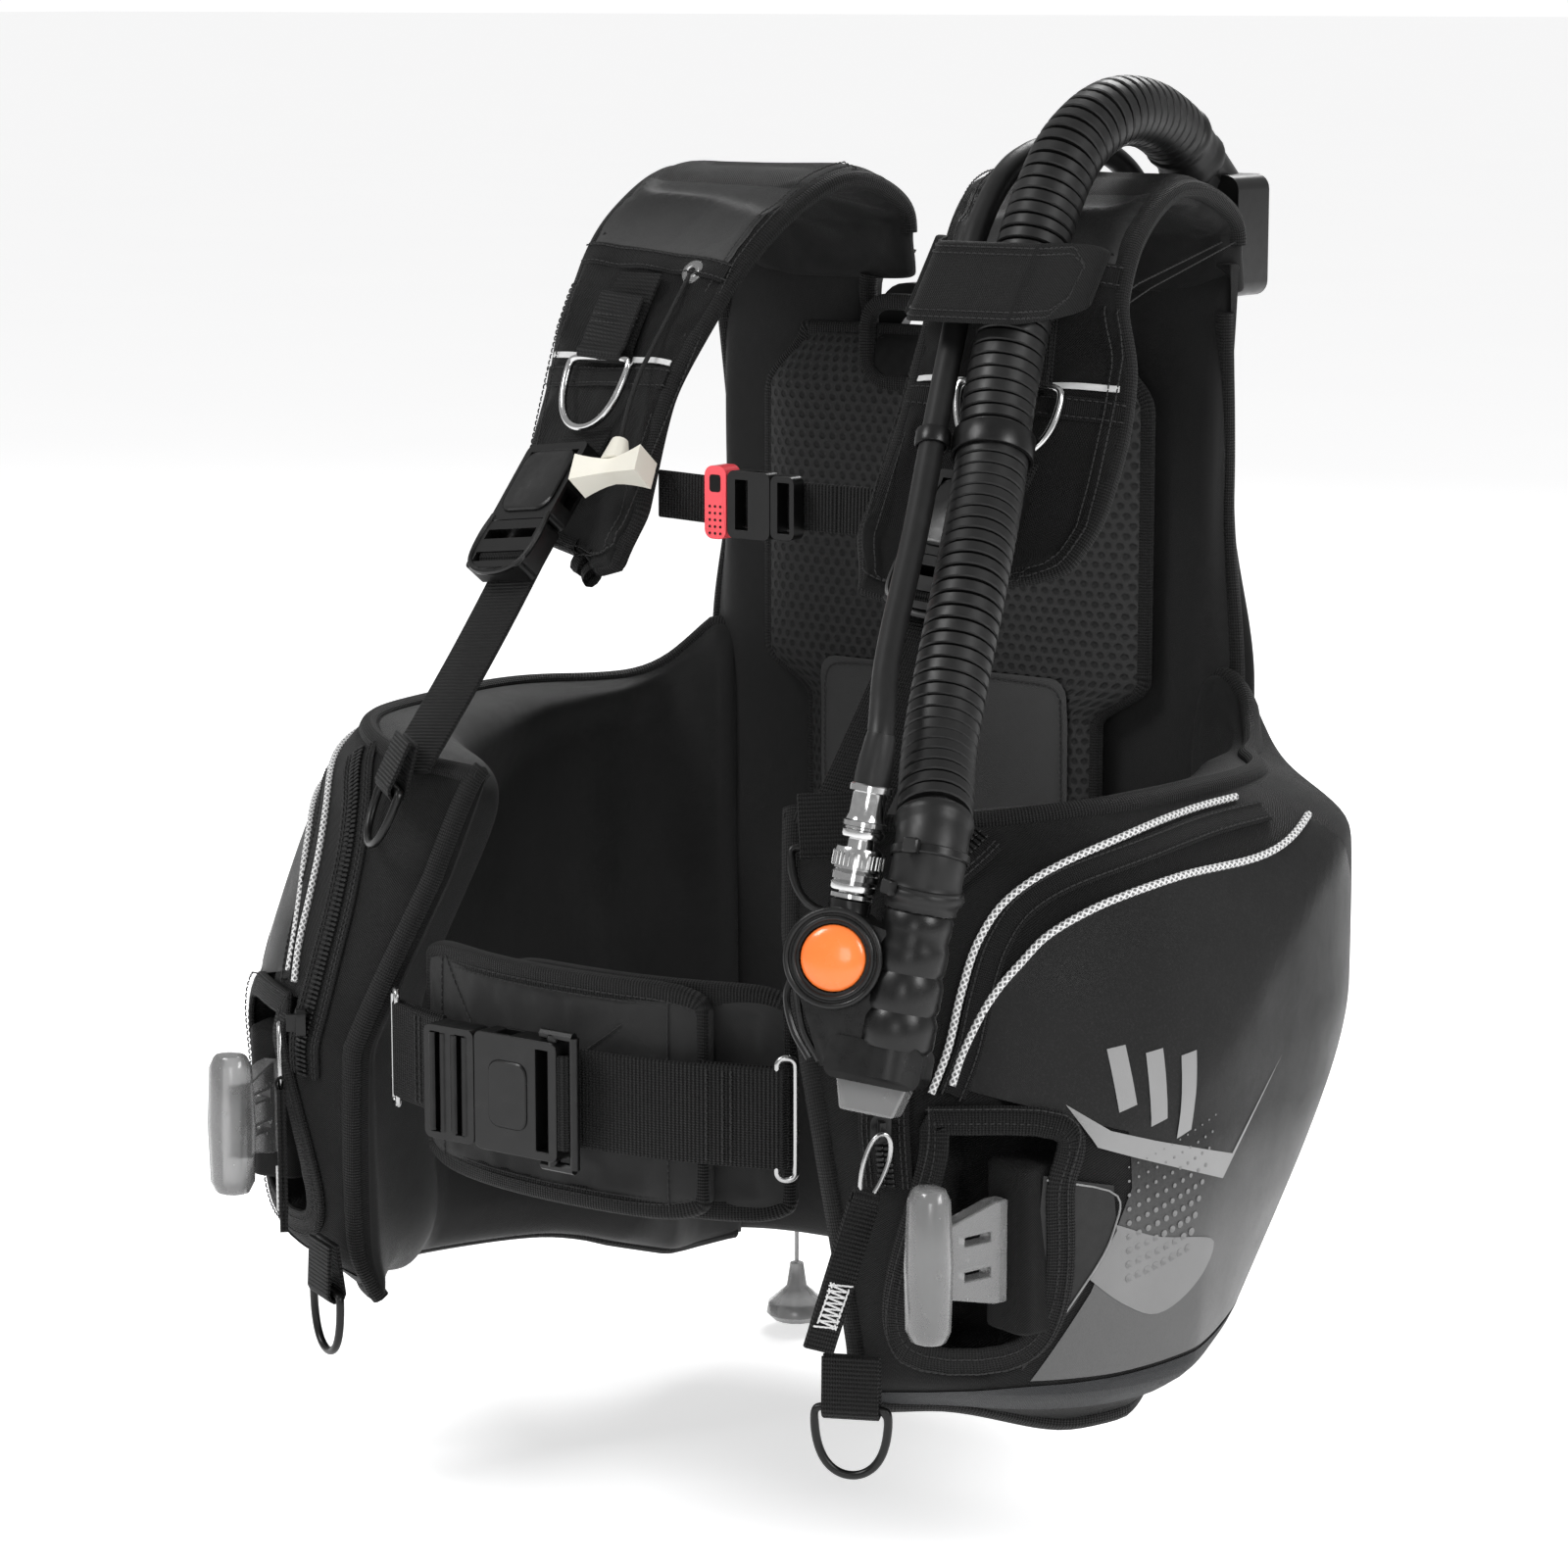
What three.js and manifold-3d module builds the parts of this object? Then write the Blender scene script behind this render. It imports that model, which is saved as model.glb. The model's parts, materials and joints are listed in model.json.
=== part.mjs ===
// A scuba diver's jacket-style buoyancy vest, in millimetres.
// The wearer faces -Y, +X is the wearer's left and +Z is up. The exported group's origin is
// the middle of the flat spine at the rear of the backplate, where the air cylinder rests.
import * as THREE from "three";
import { mergeVertices } from "three/addons/utils/BufferGeometryUtils.js";
import Module from "manifold-3d";

const wasm = await Module();
wasm.setup();

// ---------------------------------------------------------------- driving dimensions
// Plan view: the outside of the vest is a superellipse.
const HALF_WIDTH = 300; // middle to the outside of a pocket
const HALF_DEPTH = 195; // middle to the front, and to the back
const PLAN_POWER = 3; // roundness of the plan's corners
// Angles in the plan run from 0 at the back, over 90 at the side, to 180 at the front.
const WING_ANGLE = 46; // where a rear wing ends and a side lobe starts
const FRONT_ANGLE_TOP = 144; // front edge of a lobe at its top
const FRONT_ANGLE_HEM = 136; // front edge of a lobe at its hem
// Heights.
const LOBE_TOP = 15; // front upper corner of a lobe
const ARMHOLE_RISE = 8; // how much higher a lobe's top is at the side
const REAR_RISE = 31; // and how much it rises again where it meets the wing
const HEM_FRONT = -268;
const HEM_SIDE = -284;
const POCKET_HEM = -256;
const HEM_BACK = -304;
const WING_TOP = 268; // where a wing meets its shoulder pad
const LEAN_FRONT_START = -130; // the lobes lean inwards above this, at the front
const LEAN_REAR_START = -8; // and at the rear
const LEAN = 54; // how far in a lobe's top lies
const LEAN_HEIGHT = 34; // the height at which it has leaned that far
const TUCK_START = -85; // the lobes tuck under below this
const TUCK_REAR = 62;
const TUCK_FRONT = 12;
// Soft walls.
const WING_THICKNESS = 30;
const LOBE_THICKNESS = 26;
const HEM_THICKNESS = 22;
const LOBE_SKIN = 5; // depth of a lobe's own outside below the plan outline
const POCKET_DEPTH = 58;
const POCKET_REAR_ANGLE = 74;
const POCKET_FRONT_ANGLE = 131;
const PAD_WIDTH = 108;
const PAD_EXTRA = 16; // how much further inwards a pad reaches behind the neck
const PAD_FLARE = 7; // how much further outwards it reaches on the chest
const PAD_THICKNESS = 15;
const PAD_SPREAD = 112; // middle of a shoulder pad from the middle plane
const PAD_RISE = 42; // height of a pad's crown over the wing
const BACK_PAD_WIDTH = 248;
const BACK_PAD_THICKNESS = 14;
const BACK_PAD_CLEAR = 4.5; // from the wings behind it
const BACK_PAD_TOP = 226;
const BACK_PAD_FOOT = -58;
// Backplate and cylinder band.
const PLATE_WIDTH = 116;
const PLATE_THICKNESS = 9;
const PLATE_TOP = 250;
const PLATE_FOOT = -58;
const PLATE_FRONT = HALF_DEPTH - 28;
const SPINE_MIDDLE = 60; // height of the middle of the flat spine
const SPINE_DEPTH = 6; // flat spine behind the plate
const SPINE_WIDTH = 30;
const RAIL_DEPTH = 14;
const RAIL_WIDTH = 10;
const RAIL_SPREAD = 38;
const HANDLE_SLOT_WIDTH = 88;
const HANDLE_SLOT_HEIGHT = 30;
const HANDLE_BAR = 16;
const TANK_RADIUS = 92;
const BAND_WIDTH = 50;
const BAND_THICKNESS = 2.6;
const BAND_HEIGHT = 20; // middle of the band above the middle of the vest
// Webbing and buckles.
const WAIST_WEB = 50;
const CHEST_WEB = 25;
const SHOULDER_WEB = 38;
const WEB_THICKNESS = 2.4;
const WAIST_HEIGHT = -126;
const WAIST_BULGE = 23; // how far the waist strap stands proud of its two rings
const WAIST_RING_REACH = 117;
const CHEST_HEIGHT = 147;
const CHEST_Y = HALF_DEPTH - 203;
const CHEST_REACH = 70;
const CUMMERBUND_HEIGHT = 114;
const CUMMERBUND_THICKNESS = 8;
const CUMMERBUND_REACH = 112;
const CUMMERBUND_LAP = 80;
// Hoses and inflator.
const HOSE_RADIUS = 18;
const LP_RADIUS = 6.4;
const BOSS_RADIUS = 23;
const BOSS_THICKNESS = 31;
const COLUMN_RADIUS = 15.5;
const COLUMN_LENGTH = 78;
const BUTTON_RADIUS = 15.6;
const BUTTON_CLEARANCE = 0.5;
const BUTTON_TRAVEL = 3;
const COUPLER_RADIUS = 10;
// Integrated weights.
const POUCH_THICKNESS = 30;
const POUCH_HEIGHT = 82;
const POUCH_LENGTH = 86;
const POUCH_CLEARANCE = 2;
const POUCH_TURN = 15; // degrees between the pouch's slide and the Y axis
const GRIP_HEIGHT = 76;
const GRIP_X = HALF_WIDTH - 79;
const GRIP_Y = 7 - HALF_DEPTH;
const GRIP_Z = -177;
const GRIP_TO_POUCH = 46;
// Small hardware.
const RING_BAR = 2.6; // bar radius of the D-rings
const DUMP_CORD_RADIUS = 1.3;
const GAP = 0.4; // between pieces that touch
const FIT = 0.5; // sliding clearance

const DEG = Math.PI / 180;
const V = (x, y, z) => new THREE.Vector3(x, y, z);
const mix = (a, b, t) => a + (b - a) * t;
const clamp01 = (t) => Math.min(1, Math.max(0, t));
const smooth = (t) => clamp01(t) ** 2 * (3 - 2 * clamp01(t));
const between = (x, a, b) => smooth((x - a) / (b - a));

// ---------------------------------------------------------------- solids
// A closed geometry with shared vertices, turned so that its faces point out.
function closed(geometry) {
  const bare = geometry.index ? geometry.toNonIndexed() : geometry.clone();
  const only = new THREE.BufferGeometry().setAttribute("position", bare.getAttribute("position"));
  const merged = mergeVertices(only, 1e-4);
  const p = merged.attributes.position;
  const index = merged.index.array;
  let volume = 0;
  const [a, b, c] = [V(), V(), V()];
  for (let i = 0; i < index.length; i += 3) {
    a.fromBufferAttribute(p, index[i]);
    b.fromBufferAttribute(p, index[i + 1]);
    c.fromBufferAttribute(p, index[i + 2]);
    volume += a.dot(b.cross(c));
  }
  if (volume < 0)
    for (let i = 0; i < index.length; i += 3)
      [index[i + 1], index[i + 2]] = [index[i + 2], index[i + 1]];
  return merged;
}

function toManifold(geometry) {
  const g = closed(geometry);
  return new wasm.Manifold(
    new wasm.Mesh({
      numProp: 3,
      vertProperties: new Float32Array(g.attributes.position.array),
      triVerts: new Uint32Array(g.index.array),
    }),
  );
}

function fromManifold(solid) {
  const mesh = solid.getMesh();
  const positions = new Float32Array(mesh.numVert * 3);
  for (let i = 0; i < mesh.numVert; i++)
    positions.set(mesh.vertProperties.subarray(i * mesh.numProp, i * mesh.numProp + 3), i * 3);
  return new THREE.BufferGeometry()
    .setAttribute("position", new THREE.BufferAttribute(positions, 3))
    .setIndex(new THREE.BufferAttribute(new Uint32Array(mesh.triVerts), 1));
}

const join = (first, ...rest) =>
  fromManifold(rest.reduce((sum, g) => sum.add(toManifold(g)), toManifold(first)));
const cut = (first, ...rest) =>
  fromManifold(rest.reduce((left, g) => left.subtract(toManifold(g)), toManifold(first)));

// A box bent by at(u, v, w), each from 0 to 1.
function bent(nu, nv, at) {
  const g = new THREE.BoxGeometry(1, 1, 1, nu, nv, 1);
  const p = g.attributes.position;
  for (let i = 0; i < p.count; i++) {
    const q = at(p.getX(i) + 0.5, p.getY(i) + 0.5, p.getZ(i) + 0.5);
    p.setXYZ(i, q.x, q.y, q.z);
  }
  return closed(g);
}

// An extruded outline, from z 0 to the given depth.
const prism = (shape, depth, curveSegments = 4) =>
  closed(new THREE.ExtrudeGeometry(shape, { depth, bevelEnabled: false, curveSegments }));

function roundedRect(width, height, radius) {
  const [x, y, r] = [width / 2, height / 2, radius];
  const s = new THREE.Shape();
  s.moveTo(-x + r, -y);
  s.lineTo(x - r, -y);
  s.absarc(x - r, -y + r, r, -Math.PI / 2, 0);
  s.lineTo(x, y - r);
  s.absarc(x - r, y - r, r, 0, Math.PI / 2);
  s.lineTo(-x + r, y);
  s.absarc(-x + r, y - r, r, Math.PI / 2, Math.PI);
  s.lineTo(-x, -y + r);
  s.absarc(-x + r, -y + r, r, Math.PI, Math.PI * 1.5);
  return s;
}

// A rounded block centred on its own middle, rounded in its X-Y outline.
const block = (x, y, z, radius, segments = 3) =>
  prism(roundedRect(x, y, radius), z, segments).translate(0, 0, -z / 2);
const box = (x, y, z) => closed(new THREE.BoxGeometry(x, y, z));
const rod = (radius, length, sides = 16) =>
  closed(new THREE.CylinderGeometry(radius, radius, length, sides));
const turned = (profile, sides = 24) =>
  closed(new THREE.LatheGeometry(profile.map(([r, z]) => new THREE.Vector2(r, z)), sides));

// A round bar along a closed flat outline in the X-Y plane.
function ringBar(outline, radius, sides = 6) {
  const n = outline.length;
  const rings = outline.map((point, i) => {
    const tangent = outline[(i + 1) % n].clone().sub(outline[(i + n - 1) % n]).normalize();
    return Array.from({ length: sides }, (_, k) => {
      const turn = ((k + 0.5) / sides) * 2 * Math.PI;
      const out = radius * Math.cos(turn);
      return V(point.x + tangent.y * out, point.y - tangent.x * out, radius * Math.sin(turn));
    });
  });
  const positions = rings.flat().flatMap((q) => q.toArray());
  const index = [];
  for (let i = 0; i < n; i++)
    for (let k = 0; k < sides; k++) {
      const [a, b] = [i * sides + k, i * sides + ((k + 1) % sides)];
      const [c, d] = [((i + 1) % n) * sides + k, ((i + 1) % n) * sides + ((k + 1) % sides)];
      index.push(a, c, b, b, c, d);
    }
  const g = new THREE.BufferGeometry();
  g.setAttribute("position", new THREE.Float32BufferAttribute(positions, 3));
  g.setIndex(index);
  return closed(g);
}

// A round tube along a smooth curve through the points.
function tube(points, radius, steps, sides) {
  const section = new THREE.Shape(
    Array.from({ length: sides }, (_, k) => {
      const turn = ((k + 0.5) / sides) * 2 * Math.PI;
      return new THREE.Vector2(radius * Math.cos(turn), radius * Math.sin(turn));
    }),
  );
  const extrudePath = new THREE.CatmullRomCurve3(points, false, "centripetal");
  return closed(new THREE.ExtrudeGeometry(section, { steps, extrudePath }));
}

// A flat strap: its middle follows path(t), it is wide along across(t) and thin along the normal.
function strap(path, across, width, thickness, steps, strips = 1) {
  return bent(steps, strips, (u, v, w) => {
    const ahead = path(Math.min(1, u + 1e-3)).sub(path(Math.max(0, u - 1e-3))).normalize();
    const side = across(u).addScaledVector(ahead, -across(u).dot(ahead)).normalize();
    const up = side.clone().cross(ahead);
    const wide = typeof width === "function" ? width(u) : width;
    return path(u).addScaledVector(side, (v - 0.5) * wide).addScaledVector(up, (w - 0.5) * thickness);
  });
}

// A matrix whose X, Y and Z axes are the given directions (made square) at a place.
function frameAt(place, xAxis, zAxis) {
  const z = zAxis.clone().normalize();
  const x = xAxis.clone().addScaledVector(z, -xAxis.dot(z)).normalize();
  return new THREE.Matrix4().makeBasis(x, z.clone().cross(x), z).setPosition(place);
}

// ---------------------------------------------------------------- the vest's surface
const leanAt = (angle, z) => {
  const start = mix(LEAN_REAR_START, LEAN_FRONT_START, between(angle, 70, 114));
  const share = clamp01((z - start) / (LEAN_HEIGHT - start));
  const steepness = mix(1.5, 1, between(angle, 100, 118));
  return LEAN * share ** steepness * between(angle, WING_ANGLE + 1, WING_ANGLE + 20);
};
const tuckAt = (angle, z) =>
  mix(TUCK_REAR, TUCK_FRONT, clamp01((angle - 72) / 28)) *
  between(angle, WING_ANGLE - 8, WING_ANGLE + 14) *
  clamp01((TUCK_START - z) / (TUCK_START - POCKET_HEM)) ** 1.6;

// The point of the plan outline at an angle, moved inwards by depth and by the shape of the side.
function skin(angle, z, depth) {
  const inset = depth + leanAt(angle, z) + tuckAt(angle, z);
  const [s, c] = [Math.sin(angle * DEG), Math.cos(angle * DEG)];
  const [a, b] = [HALF_WIDTH - inset, HALF_DEPTH - inset];
  const r = (Math.abs(s / a) ** PLAN_POWER + Math.abs(c / b) ** PLAN_POWER) ** (-1 / PLAN_POWER);
  return V(r * s, r * c, z);
}

const frontAngle = (z) => mix(FRONT_ANGLE_TOP, FRONT_ANGLE_HEM, clamp01((-40 - z) / 200));
const lobeTop = (angle) =>
  LOBE_TOP + ARMHOLE_RISE * between(angle, 132, 104) + REAR_RISE * between(angle, 62, WING_ANGLE);
const lobeHem = (angle) =>
  mix(HEM_BACK, HEM_SIDE, between(angle, WING_ANGLE, 84)) +
  (HEM_FRONT - HEM_SIDE) * between(angle, 112, 132);
const pocketHem = (angle) => POCKET_HEM + (HEM_FRONT + 6 - POCKET_HEM) * between(angle, 112, 130);

// How deep the inside of the lobe lies below the plan outline.
const lobeInside = (angle) =>
  LOBE_THICKNESS +
  LOBE_SKIN +
  (POCKET_DEPTH - LOBE_SKIN) * between(angle, 50, POCKET_REAR_ANGLE) * (1 - between(angle, 112, 138)) -
  8 * between(angle, 136, 144);

const pocketDepth = (angle) =>
  POCKET_DEPTH * (1 - 0.5 * between(angle, 84, POCKET_REAR_ANGLE)) * (1 - 0.62 * between(angle, 112, 131));

// The pocket's upper edge falls away towards the front, along the zip.
const pocketTop = (angle) => lobeTop(angle) - 12 - 110 * between(angle, 100, POCKET_FRONT_ANGLE) ** 1.6;

function pocketBlock(outside, grow) {
  const [rear, front] = [POCKET_REAR_ANGLE - grow * 0.4, POCKET_FRONT_ANGLE + grow * 0.4];
  return bent(10, 6, (u, v, w) => {
    const angle = mix(rear, front, u);
    const z = mix(pocketHem(angle) - grow, pocketTop(angle) + grow, v);
    return skin(angle, z, w ? outside : pocketDepth(angle) + grow);
  });
}

function lobe() {
  const whole = bent(16, 7, (u, v, w) => {
    const free = mix(WING_ANGLE + 0.4, FRONT_ANGLE_TOP, u);
    const z = mix(lobeHem(free), lobeTop(free), v);
    const angle = mix(WING_ANGLE + 0.4, frontAngle(z), u);
    const inside = lobeInside(angle);
    const under = between(z, POCKET_HEM + 8, lobeHem(free)); // the hem is rounded under
    return skin(angle, z, w ? mix(LOBE_SKIN, Math.max(LOBE_SKIN, inside - HEM_THICKNESS), under) : inside);
  });
  return cut(whole, pocketBlock(-30, 3.2));
}

// ---------------------------------------------------------------- weights
const slideOut = V(-Math.sin(POUCH_TURN * DEG), -Math.cos(POUCH_TURN * DEG), 0);
// Pouch coordinates: X across the pouch, Y into the pocket, Z up, from the middle of the grip.
const pouchFrame = frameAt(V(GRIP_X, GRIP_Y, GRIP_Z), V(-slideOut.y, slideOut.x, 0), V(0, 0, 1));

function pocket() {
  const clear = 2 * POUCH_CLEARANCE;
  const inner = GRIP_TO_POUCH + POUCH_LENGTH + POUCH_CLEARANCE;
  const channel = box(POUCH_THICKNESS + clear, inner, POUCH_HEIGHT + clear)
    .translate(0, inner / 2, 0)
    .applyMatrix4(pouchFrame);
  return cut(pocketBlock(0, 0), channel);
}

const weightPouch = () =>
  block(POUCH_THICKNESS, POUCH_LENGTH, POUCH_HEIGHT, 7)
    .translate(0, GRIP_TO_POUCH + POUCH_LENGTH / 2, 0)
    .applyMatrix4(pouchFrame);

function weightHandle() {
  const grip = turned([[0, -GRIP_HEIGHT / 2], [9, -GRIP_HEIGHT / 2 + 1], [12, -GRIP_HEIGHT / 2 + 7],
    [13, 0], [11.5, GRIP_HEIGHT / 2 - 7], [8.5, GRIP_HEIGHT / 2 - 1], [0, GRIP_HEIGHT / 2]], 12)
    .rotateX(Math.PI / 2)
    .scale(1, 0.86, 1);
  const reach = GRIP_TO_POUCH - GAP;
  const neck = prism(
    new THREE.Shape([[6, -17], [reach - 8, -25], [reach, -25], [reach, 25], [reach - 8, 25], [6, 17]]
      .map(([y, z]) => new THREE.Vector2(y, z))), 9)
    .translate(0, 0, -4.5)
    .applyMatrix4(frameAt(V(0, 0, 0), V(0, 1, 0), V(1, 0, 0)));
  const slot = (z) => box(20, 16, 4).translate(0, 27, z);
  return cut(join(grip, neck), slot(8.5), slot(-8.5)).applyMatrix4(pouchFrame);
}

// ---------------------------------------------------------------- back
const spineFace = PLATE_FRONT + PLATE_THICKNESS + SPINE_DEPTH;
const tankCentre = PLATE_FRONT + PLATE_THICKNESS + RAIL_DEPTH +
  Math.sqrt(TANK_RADIUS ** 2 - RAIL_SPREAD ** 2) + 1;

function backplate() {
  const height = PLATE_TOP - PLATE_FOOT;
  const middle = (PLATE_TOP + PLATE_FOOT) / 2;
  const upright = (g) => g.rotateX(Math.PI / 2);
  const plate = upright(block(PLATE_WIDTH, height, PLATE_THICKNESS, 18))
    .translate(0, PLATE_FRONT + PLATE_THICKNESS / 2, middle);
  const railHeight = height - HANDLE_SLOT_HEIGHT - HANDLE_BAR - 40;
  const railMiddle = PLATE_FOOT + 14 + railHeight / 2;
  const back = (width, depth) =>
    box(width, depth + 2, railHeight).translate(0, PLATE_FRONT + PLATE_THICKNESS + depth / 2 - 1, railMiddle);
  const rail = (side) => back(RAIL_WIDTH, RAIL_DEPTH).translate(side * RAIL_SPREAD, 0, 0);
  const grip = upright(block(HANDLE_SLOT_WIDTH, HANDLE_SLOT_HEIGHT, 40, 12))
    .translate(0, PLATE_FRONT, PLATE_TOP - HANDLE_BAR - HANDLE_SLOT_HEIGHT / 2);
  const bandSlot = (side) =>
    box(14, 40, BAND_WIDTH + 4).translate(side * bandEnd, PLATE_FRONT, BAND_HEIGHT);
  return cut(join(plate, back(SPINE_WIDTH, SPINE_DEPTH), rail(-1), rail(1)), grip, bandSlot(-1), bandSlot(1));
}

// Where the band dips into the plate on each side, and the loop it makes round the cylinder.
const bandEnd = PLATE_WIDTH / 2 - 9;
const bandRadius = TANK_RADIUS + 1 + BAND_THICKNESS / 2;
function bandPoint(t) {
  const half = 122 * DEG; // the loop leaves the cylinder on its way to the plate
  const turn = mix(half, -half, t);
  const onLoop = V(bandRadius * Math.sin(turn), tankCentre + bandRadius * Math.cos(turn), BAND_HEIGHT);
  return onLoop;
}

function tankBand() {
  const start = V(bandEnd, PLATE_FRONT + 3, BAND_HEIGHT);
  const path = (u) => {
    if (u < 0.08) return start.clone().lerp(bandPoint(0), u / 0.08);
    if (u > 0.92) return bandPoint(1).lerp(V(-start.x, start.y, start.z), (u - 0.92) / 0.08);
    return bandPoint((u - 0.08) / 0.84);
  };
  return strap(path, () => V(0, 0, 1), BAND_WIDTH, BAND_THICKNESS, 25);
}

// The cam buckle sits on the band behind the wearer's right shoulder blade.
const buckleTurn = -38 * DEG;
const camFrame = frameAt(
  V(Math.sin(buckleTurn), Math.cos(buckleTurn), 0)
    .multiplyScalar(bandRadius + BAND_THICKNESS / 2)
    .add(V(0, tankCentre, BAND_HEIGHT)),
  V(0, 0, 1),
  V(Math.sin(buckleTurn), Math.cos(buckleTurn), 0),
);
const camBase = 6; // the base plate stands this far off the band's curve
function tankBuckle() {
  const base = block(BAND_WIDTH + 12, 56, 5, 5).translate(0, 0, camBase + 2.5);
  const cheek = (side) => box(4, 14, 14).translate(side * (BAND_WIDTH / 2 + 3), -18, camBase + 11);
  const window = box(BAND_WIDTH + 2, 6, 12);
  const slots = [-10, 4, 18].map((y) => window.clone().translate(0, y, camBase));
  return cut(join(base, cheek(-1), cheek(1)), ...slots).applyMatrix4(camFrame);
}
function camLever() {
  const plate = block(BAND_WIDTH, 52, 3.5, 6).translate(0, 8, camBase + 11);
  const barrel = rod(5, BAND_WIDTH, 12).rotateZ(Math.PI / 2).translate(0, -18, camBase + 11.5);
  return join(plate, barrel).applyMatrix4(camFrame);
}

const wingFront = HALF_DEPTH - WING_THICKNESS;
function wing() {
  const inner = PLATE_WIDTH / 2 + 8;
  return bent(7, 16, (u, v, w) => {
    const z = mix(HEM_BACK, WING_TOP, v);
    const foot = between(z, PLATE_FOOT - 14, PLATE_FOOT - 56);
    const edge = skin(WING_ANGLE, Math.min(z, 0), w ? 0 : WING_THICKNESS);
    const upper = between(z, 45, 145);
    const outerX = mix(edge.x, PAD_SPREAD + PAD_WIDTH / 2 - 4 * between(z, WING_TOP, 130), upper);
    const padInner = PAD_SPREAD - PAD_WIDTH / 2 - PAD_EXTRA;
    const innerX = mix(mix(inner, 1, foot), padInner, between(z, PLATE_TOP + 1, WING_TOP));
    const x = mix(innerX, outerX, u);
    const roll = (HALF_DEPTH - edge.y - (w ? 0 : WING_THICKNESS)) * (x / edge.x) ** 6;
    const shoulder = between(z, 150, WING_TOP) * (w ? 8 : -6);
    return V(x, (w ? HALF_DEPTH : wingFront) - Math.min(roll, 40) - shoulder, z);
  });
}

function backPad() {
  const handle = block(HANDLE_SLOT_WIDTH + 8, HANDLE_SLOT_HEIGHT + 18, 60, 14)
    .rotateX(Math.PI / 2)
    .translate(0, PLATE_FRONT - 20, PLATE_TOP - HANDLE_BAR - HANDLE_SLOT_HEIGHT / 2);
  const half = BACK_PAD_WIDTH / 2;
  const pad = bent(8, 8, (u, v, w) => {
    const z = mix(BACK_PAD_FOOT, BACK_PAD_TOP, v);
    const waist = mix(half, half - 30, between(z, 44, 20));
    const x = mix(-1, 1, u) * mix(waist, half * 0.8, between(z, 190, BACK_PAD_TOP));
    const edge = 1 - 0.5 * Math.max(Math.abs(2 * u - 1) ** 6, Math.abs(2 * v - 1) ** 8);
    const wingSide = wingFront - BACK_PAD_CLEAR;
    const rear = mix(PLATE_FRONT - GAP, wingSide, between(Math.abs(x), PLATE_WIDTH / 2 - 26, PLATE_WIDTH / 2));
    return V(x, w ? rear : wingSide - BACK_PAD_THICKNESS * edge, z);
  });
  return cut(pad, handle);
}

// ---------------------------------------------------------------- shoulders
// Middle of a shoulder pad: up from the wing, over the shoulder and down the chest.
const padCurve = new THREE.CatmullRomCurve3([
  V(PAD_SPREAD, HALF_DEPTH - 18, WING_TOP + 2),
  V(PAD_SPREAD, HALF_DEPTH - 21, WING_TOP + 20),
  V(PAD_SPREAD, HALF_DEPTH - 45, WING_TOP + PAD_RISE - 7),
  V(PAD_SPREAD, HALF_DEPTH - 80, WING_TOP + PAD_RISE - 3),
  V(PAD_SPREAD + 2, HALF_DEPTH - 116, WING_TOP + PAD_RISE - 20),
  V(PAD_SPREAD + 7, HALF_DEPTH - 148, WING_TOP - 12),
  V(PAD_SPREAD + 14, HALF_DEPTH - 179, WING_TOP - 78),
  V(PAD_SPREAD + 10, HALF_DEPTH - 205, WING_TOP - 128),
  V(PAD_SPREAD + 4, HALF_DEPTH - 228, WING_TOP - 168),
]);
const PAD_FULL = 0.86; // share of the pad that has its full width
// The pad's own directions at u: along it, across it and out of its upper side.
function padAxes(u) {
  const yaw = 20 * DEG * between(u, 0.4, 0.72);
  const ahead = padCurve.getTangentAt(u);
  const side = V(Math.cos(yaw), Math.sin(yaw), 0);
  side.addScaledVector(ahead, -side.dot(ahead)).normalize();
  return { ahead, side, out: ahead.clone().cross(side) };
}

function shoulderPad() {
  return bent(22, 4, (u, v, w) => {
    const { side, out } = padAxes(u);
    const full = 0.5 + (PAD_FLARE / PAD_WIDTH) * between(u, 0.5, 0.62) * between(u, 0.9, 0.78);
    const outer = mix(full, -0.22, between(u, PAD_FULL, 1));
    const neckSide = (PAD_EXTRA / PAD_WIDTH) * between(u, 0.5, 0.15);
    const inner = mix(-0.5, -0.38, between(u, PAD_FULL + 0.04, 1)) - neckSide;
    const edge = 1 - 0.5 * Math.abs(2 * v - 1) ** 6;
    return padCurve
      .getPointAt(u)
      .addScaledVector(side, mix(inner, outer, v) * PAD_WIDTH)
      .addScaledVector(out, (0.5 - w) * PAD_THICKNESS * edge);
  });
}

// A point on the pad's front: u along it, offset across it, height over its surface.
function onPad(u, offset, height) {
  const { ahead, side, out } = padAxes(u);
  const place = padCurve
    .getPointAt(u)
    .addScaledVector(side, offset)
    .addScaledVector(out, PAD_THICKNESS / 2 + height);
  return { place, side, out, down: ahead };
}

// The adjusting strap runs straight from the pad to the lobe's upper corner.
const strapTop = onPad(0.8, 4, 6).place;
const strapFoot = skin(136, LOBE_TOP, LOBE_SKIN - 8.5).add(V(0, 0, 2.5));
const strapDown = strapFoot.clone().sub(strapTop).normalize();
const strapLength = strapTop.distanceTo(strapFoot);
const strapSide = V(Math.cos(16 * DEG), Math.sin(16 * DEG), 0);
// Strap coordinates: X across, Y out of the chest's surface, Z down along the strap.
const strapFrame = frameAt(strapTop, strapSide, strapDown);
const strapOut = new THREE.Vector3().setFromMatrixColumn(strapFrame, 1);
const strapFace = strapOut.y < 0 ? 1 : -1;

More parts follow.
